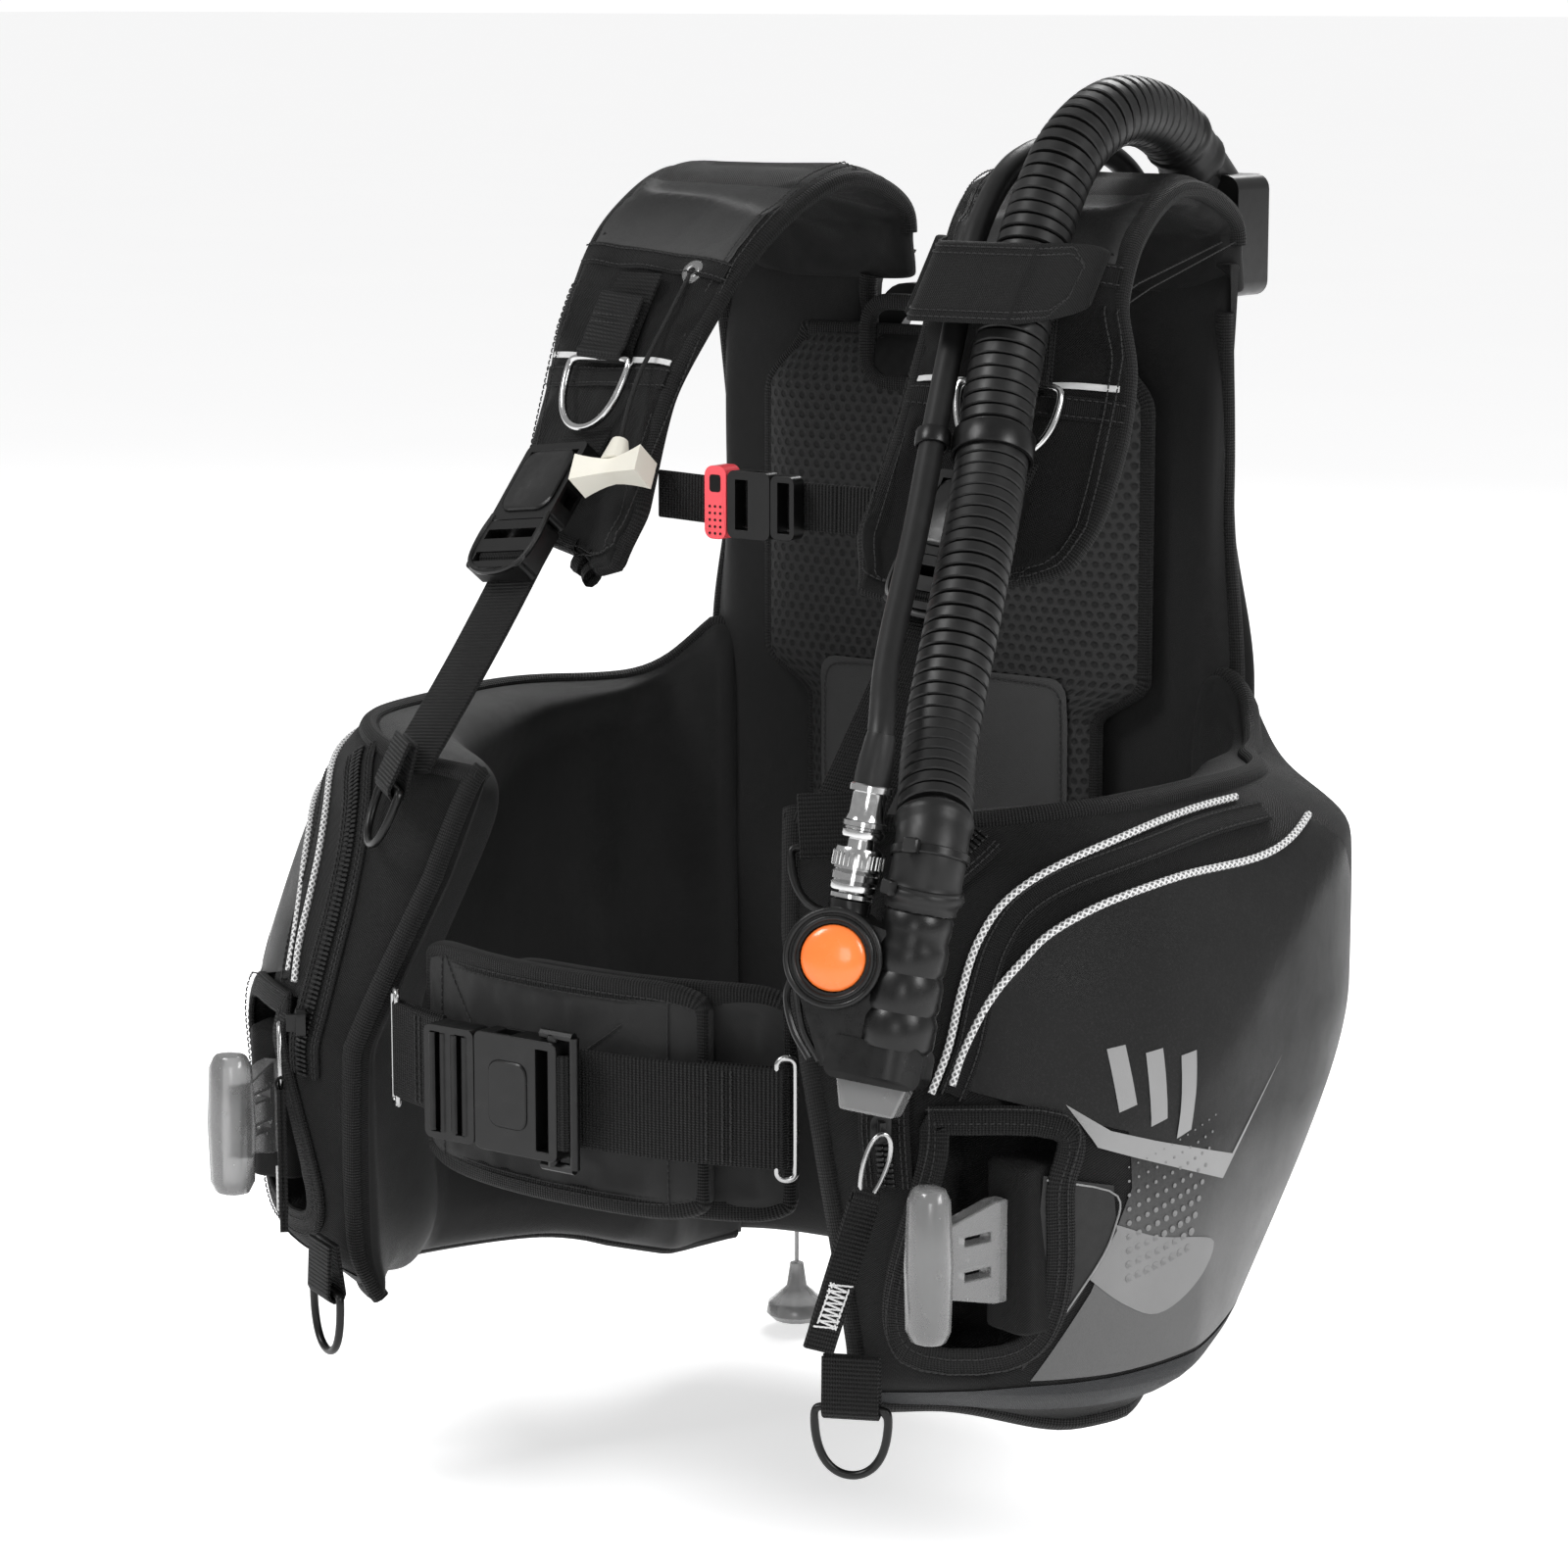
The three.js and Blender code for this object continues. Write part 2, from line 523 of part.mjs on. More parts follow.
// ---------------------------------------------------------------- side-release buckles
// Both halves lie along X with the tongue's travel towards -X, and face +Z.
function buckleSocket(web, length, thickness) {
  const width = web + 10;
  const body = block(length, width, thickness, 4).translate(length / 2, 0, 0);
  const cavity = box(length * 0.55, web - 2, thickness - 4).translate(length * 0.275 - 0.5, 0, 0);
  const window = box(length * 0.2, web + 20, thickness - 4).translate(length * 0.33, 0, 0);
  const slot = box(8, web + 1, thickness + 2).translate(length - 9, 0, 0);
  return cut(body, cavity, window, slot);
}
function bucklePlug(web, length, thickness) {
  const width = web + 8;
  const tongue = length * 0.5;
  const body = block(length - tongue, width, thickness, 4).translate(-(length - tongue) / 2, 0, 0);
  const leaf = box(tongue * 0.8, 5, thickness - 6).translate(tongue * 0.4 - 1, 0, 0);
  const arm = (side) =>
    box(tongue * 0.9, 5, thickness - 6).translate(tongue * 0.45 - 1, side * (web / 2 - 5), 0);
  const slot = (x) => box(6, web + 1, thickness + 2).translate(x, 0, 0);
  return cut(join(body, leaf, arm(-1), arm(1)), slot(-7 - 2), slot(GAP - (length - tongue) + 7));
}

// ---------------------------------------------------------------- waist and chest
const waistY = (x) => -HALF_DEPTH + WAIST_BULGE * (x / WAIST_RING_REACH) ** 2;
const cummerbundY = (x) => -(HALF_DEPTH - 15) + 25 * Math.abs(x / 110) ** 2.2;
const WAIST_BUCKLE = { centre: -20, socket: 52, plug: 64, thickness: 14 };
const CHEST_BUCKLE = { centre: 9, socket: 27, plug: 30, thickness: 9 };
const SHOULDER_BUCKLE = { socket: 50, plug: 62, thickness: 13 };
const waistSeam = WAIST_BUCKLE.centre - 16; // where the two halves of the buckle meet
const chestSeam = CHEST_BUCKLE.centre - 4;

function waistWeb(from, to) {
  return strap(
    (u) => V(mix(from, to, u), waistY(mix(from, to, u)), WAIST_HEIGHT),
    () => V(0, 0, 1), WAIST_WEB, WEB_THICKNESS, 8);
}
function cummerbund(from, to, layer) {
  return bent(10, 4, (u, v, w) => {
    const x = mix(from, to, u);
    const round = 1 - 0.16 * Math.abs(2 * u - 1) ** 10;
    const edge = 1 - 0.5 * Math.max(Math.abs(2 * v - 1) ** 6, Math.abs(2 * u - 1) ** 8);
    const y = cummerbundY(x) + layer * (CUMMERBUND_THICKNESS + 1);
    const z = WAIST_HEIGHT + (v - 0.5) * CUMMERBUND_HEIGHT * round;
    return V(x, y + (w - 0.5) * CUMMERBUND_THICKNESS * edge, z);
  });
}
const rectangleOutline = (width, height, corner) =>
  roundedRect(width, height, corner).extractPoints(3).shape;

function whistle() {
  const body = block(14, 38, 13, 5);
  const slot = box(20, CHEST_WEB + 2, WEB_THICKNESS + 1.4).translate(0, -1, -3.4);
  const mouth = box(6, 8, 8).translate(0, 10, 5.5);
  return cut(body, slot, mouth);
}

// ---------------------------------------------------------------- rings
// A D: the straight bar lies on the X axis and the bow hangs to -Y.
function dOutline(width, drop) {
  const half = width / 2;
  const s = new THREE.Shape();
  s.moveTo(-half, 0);
  s.lineTo(half, 0);
  s.bezierCurveTo(half + 1, -drop * 0.75, half * 0.55, -drop, 0, -drop);
  s.bezierCurveTo(-half * 0.55, -drop, -half - 1, -drop * 0.75, -half, 0);
  return s.getSpacedPoints(20).slice(0, -1);
}

// ---------------------------------------------------------------- inflator
const BOSS = V(178, -HALF_DEPTH - 4, -34);
// Inflator coordinates: X towards the hose column, Y up along it, Z out of its face.
const inflatorFrame = frameAt(BOSS, V(0.927, 0.374, -0.14), V(0.374, -0.927, 0.2));
const COLUMN_X = 33;
const COLUMN_FOOT = -50;
const FOOT_X = 27; // middle of the deflate button
const FOOT_WIDTH = 46;
const DEFLATE_WIDTH = 37;
const DEFLATE_DEPTH = 19;
const DEFLATE_TRAVEL = 4;
const NIPPLE_TOP = BOSS_RADIUS + 4;

function inflatorBody() {
  const boss = rod(BOSS_RADIUS, BOSS_THICKNESS, 24).rotateX(Math.PI / 2);
  const column = rod(COLUMN_RADIUS, COLUMN_LENGTH, 18)
    .translate(COLUMN_X, COLUMN_FOOT + COLUMN_LENGTH / 2, 0);
  const web = prism(
    new THREE.Shape([[-18, -12], [-6, -34], [2, COLUMN_FOOT], [40, COLUMN_FOOT], [40, 14], [4, 20]]
      .map(([x, y]) => new THREE.Vector2(x, y))), 22).translate(0, 0, -11);
  const nipple = rod(10, NIPPLE_TOP, 16).translate(0, NIPPLE_TOP / 2, 0);
  const foot = block(FOOT_WIDTH, 20, 26, 6).translate(FOOT_X, COLUMN_FOOT + 6, 0);
  const well = rod(BUTTON_RADIUS + BUTTON_CLEARANCE, 14, 24)
    .rotateX(Math.PI / 2)
    .translate(0, 0, BOSS_THICKNESS / 2 - 6);
  const lowerWell = box(DEFLATE_WIDTH + 2 * FIT, 16, DEFLATE_DEPTH + 2 * FIT)
    .translate(FOOT_X, COLUMN_FOOT - 2, 0);
  return cut(join(boss, column, web, nipple, foot), well, lowerWell).applyMatrix4(inflatorFrame);
}
const inflateButton = () =>
  turned([[0, 0], [BUTTON_RADIUS, 0], [BUTTON_RADIUS, 8], [BUTTON_RADIUS - 2, 10], [0, 11]], 24)
    .rotateX(Math.PI / 2)
    .translate(0, 0, BOSS_THICKNESS / 2 - 13 + 1 + BUTTON_TRAVEL + FIT)
    .applyMatrix4(inflatorFrame);
const deflateButton = () =>
  bent(1, 1, (u, v, w) => V(
    FOOT_X + (u - 0.5) * mix(26, DEFLATE_WIDTH, v),
    COLUMN_FOOT + mix(-18, 6 - DEFLATE_TRAVEL - FIT, v),
    (w - 0.5) * DEFLATE_DEPTH)).applyMatrix4(inflatorFrame);

// The quick connector of the low-pressure hose: body with its sliding collar round it.
const couplerFoot = NIPPLE_TOP + GAP;
const COUPLER_LENGTH = 54;
const SLEEVE = { from: 4, to: 24, bore: 7.2 };
function couplerBody() {
  const r = COUPLER_RADIUS;
  const neck = SLEEVE.bore - FIT;
  return turned([[0, 0], [r, 0], [r, 3], [neck, 3], [neck, SLEEVE.to + 5], [r, SLEEVE.to + 5], [r, 38],
    [8, 40], [8, COUPLER_LENGTH], [0, COUPLER_LENGTH]], 16)
    .translate(0, couplerFoot, 0)
    .applyMatrix4(inflatorFrame);
}
function couplerSleeve() {
  const { from, to, bore } = SLEEVE;
  const r = COUPLER_RADIUS + 1.4;
  return turned([[bore, from], [r, from], [r, to], [bore, to], [bore, from]], 16)
    .translate(0, couplerFoot, 0)
    .applyMatrix4(inflatorFrame);
}

const inInflator = (x, y, z) => V(x, y, z).applyMatrix4(inflatorFrame);
const ELBOW = V(135, HALF_DEPTH + 12, 280);
const ELBOW_SIZE = V(40, 32, 64);
const INLET = V(128, HALF_DEPTH - 4, 317); // where the hose meets the elbow's inlet
const INLET_DIRECTION = V(0, -0.78, 0.62).normalize();

const corrugatedRoute = [
  inInflator(COLUMN_X, COLUMN_FOOT + COLUMN_LENGTH + GAP, 0),
  inInflator(COLUMN_X, COLUMN_FOOT + COLUMN_LENGTH + 30, 0),
  V(188, HALF_DEPTH - 327, 60),
  V(171, HALF_DEPTH - 279, 124),
  V(154, HALF_DEPTH - 237, 170),
  V(143, HALF_DEPTH - 211, 210),
  V(137, HALF_DEPTH - 186, 252),
  V(132, HALF_DEPTH - 159, 294),
  V(131, HALF_DEPTH - 130, 328),
  V(132, HALF_DEPTH - 97, 345),
  V(130, HALF_DEPTH - 58, 345),
  INLET.clone().addScaledVector(INLET_DIRECTION, 26),
  INLET.clone().addScaledVector(INLET_DIRECTION, 1),
];
const corrugatedHose = () => tube(corrugatedRoute, HOSE_RADIUS, 44, 12);

function hoseElbow() {
  const shell = block(ELBOW_SIZE.x, ELBOW_SIZE.z, ELBOW_SIZE.y, 8).rotateX(Math.PI / 2);
  const cap = rod(15, 8, 16).translate(0, ELBOW_SIZE.y / 2 + 2, -4);
  const valve = join(shell, cap).translate(ELBOW.x, ELBOW.y, ELBOW.z);
  const inlet = rod(HOSE_RADIUS - 1, 30, 16)
    .translate(0, -15, 0)
    .applyMatrix4(frameAt(INLET, V(1, 0, 0), V(1, 0, 0).cross(INLET_DIRECTION)));
  return join(valve, inlet);
}

// The low-pressure hose lies beside the big one, crosses the shoulder and hangs behind it.
const lpRoute = [
  inInflator(0, couplerFoot + COUPLER_LENGTH + GAP, 0),
  inInflator(0, couplerFoot + COUPLER_LENGTH + 20, 0),
  V(166, HALF_DEPTH - 340, 95),
  V(141, HALF_DEPTH - 280, 152),
  V(122, HALF_DEPTH - 235, 200),
  V(108, HALF_DEPTH - 198, 244),
  V(98, HALF_DEPTH - 165, 288),
  V(94, HALF_DEPTH - 129, 318),
  V(94, HALF_DEPTH - 93, 328),
  V(95, HALF_DEPTH - 57, 328),
  V(97, HALF_DEPTH - 21, 314),
  V(98, HALF_DEPTH + 5, 284),
  V(98, HALF_DEPTH + 15, 240),
  V(98, HALF_DEPTH + 16, 190),
  V(98, HALF_DEPTH + 16, 150),
];
const lpHose = () => tube(lpRoute, LP_RADIUS, 44, 8);
function lpHoseFitting() {
  const end = lpRoute.at(-1);
  return turned([[0, 0], [5.5, 0], [5.5, 9], [9, 9.5], [9, 19], [7.6, 20], [7.6, 34], [0, 34]], 12)
    .rotateX(Math.PI / 2)
    .translate(end.x, end.y, end.z - 34 - GAP);
}

// A fabric flap that holds both hoses against the pad.
const KEEPER = { from: 66, to: 166, height: 48, thickness: 3.5, rise: 266 };
function hoseKeeper() {
  return bent(12, 3, (u, v, w) => {
    const x = mix(KEEPER.from, KEEPER.to, u);
    const onHose = between(u, 0.02, 0.34) * between(u, 1, 0.86);
    const along = (v - 0.5) * KEEPER.height;
    const free = HALF_DEPTH - 166 + 0.12 * (x - KEEPER.from);
    const front = mix(free, HALF_DEPTH - 211 + 0.1 * (x - KEEPER.from), onHose);
    return V(x, front + along * 0.6 - w * KEEPER.thickness, KEEPER.rise + along * 0.8);
  });
}

// ---------------------------------------------------------------- dump valves
const dumpEnd = onPad(0.81, -51, 14);
const dumpRoute = [0, 0.2, 0.4, 0.6, 0.8]
  .map((t) => onPad(mix(0.49, 0.8, t), mix(-32, -50, t), mix(2, 13, t)).place)
  .concat([dumpEnd.place]);
const dumpCord = () => tube(dumpRoute, DUMP_CORD_RADIUS, 12, 8);
const pullDown = dumpEnd.place.clone().sub(dumpRoute.at(-2)).normalize();
const knobFrame = frameAt(dumpEnd.place.clone().addScaledVector(pullDown, GAP + 0.6), V(1, 0, 0), pullDown);

function bowKnob(length) {
  const cone = turned([[0, 0], [4.5, 0], [8, 14], [0, 14]], 14).rotateX(Math.PI / 2);
  const bow = bent(8, 1, (u, v, w) => {
    const x = (u - 0.5) * length;
    const fat = 5.5 + 3.5 * Math.abs(2 * u - 1) ** 1.5;
    return V(x, (v - 0.5) * 2 * fat, 12 + 7 + (w - 0.5) * 2 * (fat - 1));
  });
  return join(cone, bow);
}
const shoulderKnob = () => bowKnob(40).applyMatrix4(knobFrame);

const REAR_VALVE = V(-140, HALF_DEPTH, -236);
const rearValve = () =>
  turned([[0, 0], [27, 0], [29, 3], [27, 9], [18, 13], [0, 14]], 20)
    .translate(REAR_VALVE.x, REAR_VALVE.y + GAP, REAR_VALVE.z);
const REAR_KNOB_TOP = -331;
function rearKnob() {
  const y = REAR_VALVE.y + 9;
  const cord = rod(DUMP_CORD_RADIUS, REAR_VALVE.z - 29 - GAP - REAR_KNOB_TOP + 6, 8)
    .rotateX(Math.PI / 2)
    .translate(0, 0, (REAR_VALVE.z - 29 - GAP + REAR_KNOB_TOP - 6) / 2);
  const cone = turned([[0, 0], [4, 0], [6, -14], [17, -24], [18, -30], [14, -34], [0, -34]], 16)
    .rotateX(Math.PI / 2)
    .translate(0, 0, REAR_KNOB_TOP);
  return join(cord, cone).translate(REAR_VALVE.x, y, 0);
}

// ---------------------------------------------------------------- materials
const finish = (color, roughness, metalness = 0) =>
  new THREE.MeshStandardMaterial({ color, roughness, metalness });
const nylon = () => finish(0x222224, 0.85);
const webbing = () => finish(0x1c1c1d, 0.9);
const acetal = () => finish(0x161617, 0.45);
const steel = () => finish(0xc8cacc, 0.2, 1);
const clearGrey = () => finish(0x9a9da0, 0.35);

// ---------------------------------------------------------------- assembly
const vest = new THREE.Group();
const body = new THREE.Group();
body.position.set(0, -spineFace, -SPINE_MIDDLE);
vest.add(body);

function add(name, geometry, material, holder = body) {
  const mesh = new THREE.Mesh(geometry, material);
  mesh.name = name;
  holder.add(mesh);
  return mesh;
}

// The left one is modelled, and the right one is its mirror image.
const mirror = new THREE.Group();
mirror.scale.x = -1;
body.add(mirror);
function pair(name, geometry, material) {
  add(name + "_l", geometry, material());
  add(name + "_r", geometry, material(), mirror);
}

add("backplate", backplate(), finish(0x1a1a1b, 0.5));
add("back_pad", backPad(), finish(0x151516, 0.95));
add("tank_band", tankBand(), webbing());
add("tank_buckle", tankBuckle(), acetal());
add("tank_cam_lever", camLever(), acetal());
pair("back_wing", wing(), nylon);
pair("lobe", lobe(), nylon);
pair("shoulder_pad", shoulderPad(), nylon);
pair("pocket", pocket(), () => finish(0x35363a, 0.5));
pair("weight_pouch", weightPouch(), nylon);
pair("weight_handle", weightHandle(), clearGrey);

// Zip sliders and their pulls, just in front of the pockets.
const zipSpot = skin(133.5, -120, LOBE_SKIN - 5);
const zipOut = skin(133.5, -120, -20).sub(zipSpot).normalize();
const zipFrame = frameAt(zipSpot, V(-zipOut.y, zipOut.x, 0), zipOut);
const slider = join(block(10, 14, 5, 3), box(3, 9, 7).translate(0, 0, 4)).applyMatrix4(zipFrame);
pair("zip_slider", slider, acetal);
const pullPlate = prism(roundedRect(17, 112, 7), 3.2, 3).translate(0, -55, -1.6);
const pull = cut(pullPlate, block(7, 22, 12, 3).translate(0, -20, 0));
const pullSpot = zipSpot.clone().addScaledVector(zipOut, 11);
const PULL_SLANT = -17 * DEG;
pair("zip_pull",
  pull.rotateZ(PULL_SLANT).applyMatrix4(frameAt(pullSpot, V(-zipOut.y, zipOut.x, 0), zipOut)), webbing);

// Waist.
add("cummerbund_r", cummerbund(-CUMMERBUND_REACH, CUMMERBUND_LAP, 0), finish(0x2c2c2f, 0.7));
add("cummerbund_l", cummerbund(-CUMMERBUND_LAP + 30, CUMMERBUND_REACH + 2, 1), finish(0x29292c, 0.7));
const buckleY = waistY(WAIST_BUCKLE.centre) - WAIST_BUCKLE.thickness / 2 - WEB_THICKNESS / 2 - 0.8;
const laid = (geometry, x, y, z) =>
  geometry.applyMatrix4(frameAt(V(x, y, z), V(1, 0, 0), V(0, -1, 0)));
const waistSocket = buckleSocket(WAIST_WEB, WAIST_BUCKLE.socket, WAIST_BUCKLE.thickness);
const waistPlug = bucklePlug(WAIST_WEB, WAIST_BUCKLE.plug, WAIST_BUCKLE.thickness);
add("waist_buckle_socket", laid(waistSocket, waistSeam + GAP, buckleY, WAIST_HEIGHT), acetal());
add("waist_buckle_plug", laid(waistPlug, waistSeam, buckleY, WAIST_HEIGHT), acetal());
const ringX = WAIST_RING_REACH + 4;
add("waist_web_l", waistWeb(waistSeam + WAIST_BUCKLE.socket - 14, WAIST_RING_REACH), webbing());
add("waist_web_r", waistWeb(-WAIST_RING_REACH, waistSeam - 24), webbing());
const waistRing = ringBar(rectangleOutline(9, WAIST_WEB + 10, 4), 2).applyMatrix4(
  frameAt(V(ringX + 3, waistY(ringX) + 3, WAIST_HEIGHT), V(0.8, 0.6, 0), V(0.6, -0.8, 0)));
pair("waist_ring", waistRing, steel);

// Chest.
const chestBuckleY = CHEST_Y - CHEST_BUCKLE.thickness / 2 - WEB_THICKNESS / 2 - 0.8;
const chestSocket = buckleSocket(CHEST_WEB, CHEST_BUCKLE.socket, CHEST_BUCKLE.thickness).rotateY(Math.PI);
const chestPlug = bucklePlug(CHEST_WEB, CHEST_BUCKLE.plug, CHEST_BUCKLE.thickness).rotateY(Math.PI);
add("chest_buckle_socket", laid(chestSocket, chestSeam - GAP, chestBuckleY, CHEST_HEIGHT), acetal());
add("chest_buckle_plug", laid(chestPlug, chestSeam, chestBuckleY, CHEST_HEIGHT), acetal());
const chestWeb = (from, to) =>
  strap((u) => V(mix(from, to, u), CHEST_Y, CHEST_HEIGHT), () => V(0, 0, 1), CHEST_WEB, WEB_THICKNESS, 4);
add("chest_web_l", chestWeb(chestSeam + 2, CHEST_REACH), webbing());
add("chest_web_r", chestWeb(-CHEST_REACH, chestSeam - 2), webbing());
add("whistle", laid(whistle(), chestSeam - CHEST_BUCKLE.socket - 9, CHEST_Y - 3.4, CHEST_HEIGHT),
  finish(0xfa555f, 0.4));

// Shoulder straps and their buckles.
const onStrap = (geometry) =>
  geometry.applyMatrix4(frameAt(strapTop, strapDown, strapOut.clone().multiplyScalar(strapFace)));
const { socket: shoulderSeam, plug: shoulderPlug, thickness: shoulderThickness } = SHOULDER_BUCKLE;
const turnedOver = (geometry, along) => geometry.rotateY(Math.PI).translate(along, 0, 4);
pair("shoulder_buckle_socket",
  onStrap(turnedOver(buckleSocket(SHOULDER_WEB, shoulderSeam, shoulderThickness), shoulderSeam)), acetal);
pair("shoulder_buckle_plug",
  onStrap(turnedOver(bucklePlug(SHOULDER_WEB, shoulderPlug, shoulderThickness), shoulderSeam + GAP)), acetal);
const webStart = shoulderSeam + 6;
const shoulderWeb = box(strapLength - webStart, SHOULDER_WEB, WEB_THICKNESS)
  .translate((strapLength + webStart) / 2, 0, 4 - (shoulderThickness + WEB_THICKNESS) / 2 - 0.7);
pair("shoulder_web", onStrap(shoulderWeb), webbing);

// D-rings.
const padRing = onPad(0.64, 2, 6);
const ringOn = (place, side, down) => frameAt(place, side, side.clone().cross(down.clone().negate()));
pair("shoulder_d_ring",
  ringBar(dOutline(54, 40), RING_BAR).applyMatrix4(ringOn(padRing.place, padRing.side, padRing.down)), steel);
const lobeRing = skin(137, 6, LOBE_SKIN - 13);
const lobeRingDown = skin(137, -28, LOBE_SKIN - 13).sub(lobeRing).normalize();
pair("lobe_d_ring",
  ringBar(dOutline(42, 32), RING_BAR).applyMatrix4(ringOn(lobeRing, V(0.8, 0.6, 0), lobeRingDown)), acetal);
const hipRing = V(HALF_WIDTH - 132, 20 - HALF_DEPTH, HEM_FRONT + 8);
pair("hip_d_ring",
  ringBar(dOutline(36, 34), RING_BAR).applyMatrix4(ringOn(hipRing, V(0.9, 0.43, 0), V(0, 0, -1))), acetal);

// Inflator and hoses.
add("inflator_body", inflatorBody(), acetal());
add("inflate_button", inflateButton(), finish(0xff7d37, 0.35));
add("deflate_button", deflateButton(), finish(0xb9bcbe, 0.4));
add("coupler_body", couplerBody(), steel());
add("coupler_sleeve", couplerSleeve(), steel());
add("corrugated_hose", corrugatedHose(), finish(0x171718, 0.5));
add("hose_elbow", hoseElbow(), acetal());
add("lp_hose", lpHose(), finish(0x151516, 0.45));
add("lp_hose_fitting", lpHoseFitting(), steel());
add("hose_keeper", hoseKeeper(), nylon());

// Dump valves.
add("shoulder_dump_cord", dumpCord(), webbing(), mirror);
add("shoulder_dump_knob", shoulderKnob(), finish(0xe1ded6, 0.45), mirror);
add("rear_valve", rearValve(), acetal());
add("rear_dump_knob", rearKnob(), clearGrey());

export default vest;
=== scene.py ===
"""A scuba diver's jacket-style buoyancy vest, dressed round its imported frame.

The wearer faces -Y, +X is the wearer's left and +Z is up. Sizes are in millimetres from the middle of
the wearer's trunk, and `Trunk.place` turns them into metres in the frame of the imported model.
"""

import json
import logging
import math
from dataclasses import dataclass, field
from enum import Enum
from typing import Callable, Iterable, Sequence

import bmesh
import bpy
import numpy as np
from mathutils import Matrix, Vector
from mathutils.bvhtree import BVHTree
from mathutils.geometry import delaunay_2d_cdt

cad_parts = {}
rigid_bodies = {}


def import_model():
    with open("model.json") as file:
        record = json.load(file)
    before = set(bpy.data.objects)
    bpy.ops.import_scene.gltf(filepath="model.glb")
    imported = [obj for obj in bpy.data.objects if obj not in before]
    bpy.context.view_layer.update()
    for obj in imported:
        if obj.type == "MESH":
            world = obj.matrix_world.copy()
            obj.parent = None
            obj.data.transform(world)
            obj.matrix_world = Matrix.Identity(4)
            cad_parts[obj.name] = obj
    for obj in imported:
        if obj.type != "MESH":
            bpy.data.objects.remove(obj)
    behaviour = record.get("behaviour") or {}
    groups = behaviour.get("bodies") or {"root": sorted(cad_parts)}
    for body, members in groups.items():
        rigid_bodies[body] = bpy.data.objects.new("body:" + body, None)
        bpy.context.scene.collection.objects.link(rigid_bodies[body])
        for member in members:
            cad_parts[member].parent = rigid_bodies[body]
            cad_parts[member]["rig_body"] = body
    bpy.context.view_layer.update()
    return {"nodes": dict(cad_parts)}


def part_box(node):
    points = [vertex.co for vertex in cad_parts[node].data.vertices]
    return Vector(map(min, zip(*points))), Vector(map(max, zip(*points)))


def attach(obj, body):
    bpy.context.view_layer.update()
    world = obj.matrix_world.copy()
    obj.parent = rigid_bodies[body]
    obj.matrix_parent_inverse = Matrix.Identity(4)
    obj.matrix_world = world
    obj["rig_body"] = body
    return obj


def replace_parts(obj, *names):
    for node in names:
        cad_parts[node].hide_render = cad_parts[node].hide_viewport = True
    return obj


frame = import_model()
log = logging.getLogger("vest")
MM = 0.001

Point = np.ndarray
Line = np.ndarray


# ---------------------------------------------------------------- numbers
def vec(x: float, y: float, z: float) -> Point:
    """A point or direction."""
    return np.array([x, y, z], float)


def unit(v: Point) -> Point:
    """The direction of v."""
    return v / max(np.linalg.norm(v), 1e-9)


def mix(a: float, b: float, t: float) -> float:
    """The value a share t of the way from a to b."""
    return a + (b - a) * t


def between(x: float, a: float, b: float) -> float:
    """A smooth step from 0 at a to 1 at b."""
    t = min(1.0, max(0.0, (x - a) / (b - a)))
    return t * t * (3 - 2 * t)


def spline(points: Sequence[Sequence[float]], count: int) -> Line:
    """A smooth line through points, evenly spaced.

    Args:
        points: the points that it passes through.
        count: how many points it gets.

    Returns:
        An array of count points.
    """
    p = [np.array(q, float) for q in points]
    p = [2 * p[0] - p[1], *p, 2 * p[-1] - p[-2]]
    fine = []
    for a, b, c, d in zip(p, p[1:], p[2:], p[3:]):
        k = [max(np.linalg.norm(q - r) ** 0.5, 1e-6) for q, r in ((a, b), (b, c), (c, d))]
        m1 = (b - a) / k[0] - (c - a) / (k[0] + k[1]) + (c - b) / k[1]
        m2 = (c - b) / k[1] - (d - b) / (k[1] + k[2]) + (d - c) / k[2]
        m1, m2 = m1 * k[1], m2 * k[1]
        for t in np.linspace(0, 1, 25)[:-1]:
            fine.append((2 * t**3 - 3 * t**2 + 1) * b + (t**3 - 2 * t**2 + t) * m1
                        + (3 * t**2 - 2 * t**3) * c + (t**3 - t**2) * m2)
    fine.append(p[-2])
    return even(np.array(fine), count)


def lengths(line: Line) -> np.ndarray:
    """The distance along a line to each of its points."""
    return np.concatenate([[0], np.cumsum(np.linalg.norm(np.diff(line, axis=0), axis=1))])


def even(line: Line, count: int) -> Line:
    """The same line with count evenly spaced points."""
    s = lengths(line)
    at = np.linspace(0, s[-1], count)
    return np.stack([np.interp(at, s, line[:, k]) for k in range(line.shape[1])], axis=1)


def directions(line: Line, ring: bool = False) -> Line:
    """The direction of a line at each of its points; ring is true where it closes on itself."""
    if ring:
        d = np.roll(line, -1, 0) - np.roll(line, 1, 0)
    else:
        d = np.gradient(line, axis=0)
    return d / np.maximum(np.linalg.norm(d, axis=1, keepdims=True), 1e-9)


def carried(line: Line, start: Point) -> Line:
    """Sideways directions carried along a line without twist, from start at its first point."""
    ahead = directions(line)
    side = start - ahead[0] * np.dot(start, ahead[0])
    out = []
    for t in ahead:
        side = unit(side - t * np.dot(side, t))
        out.append(side)
    return np.array(out)


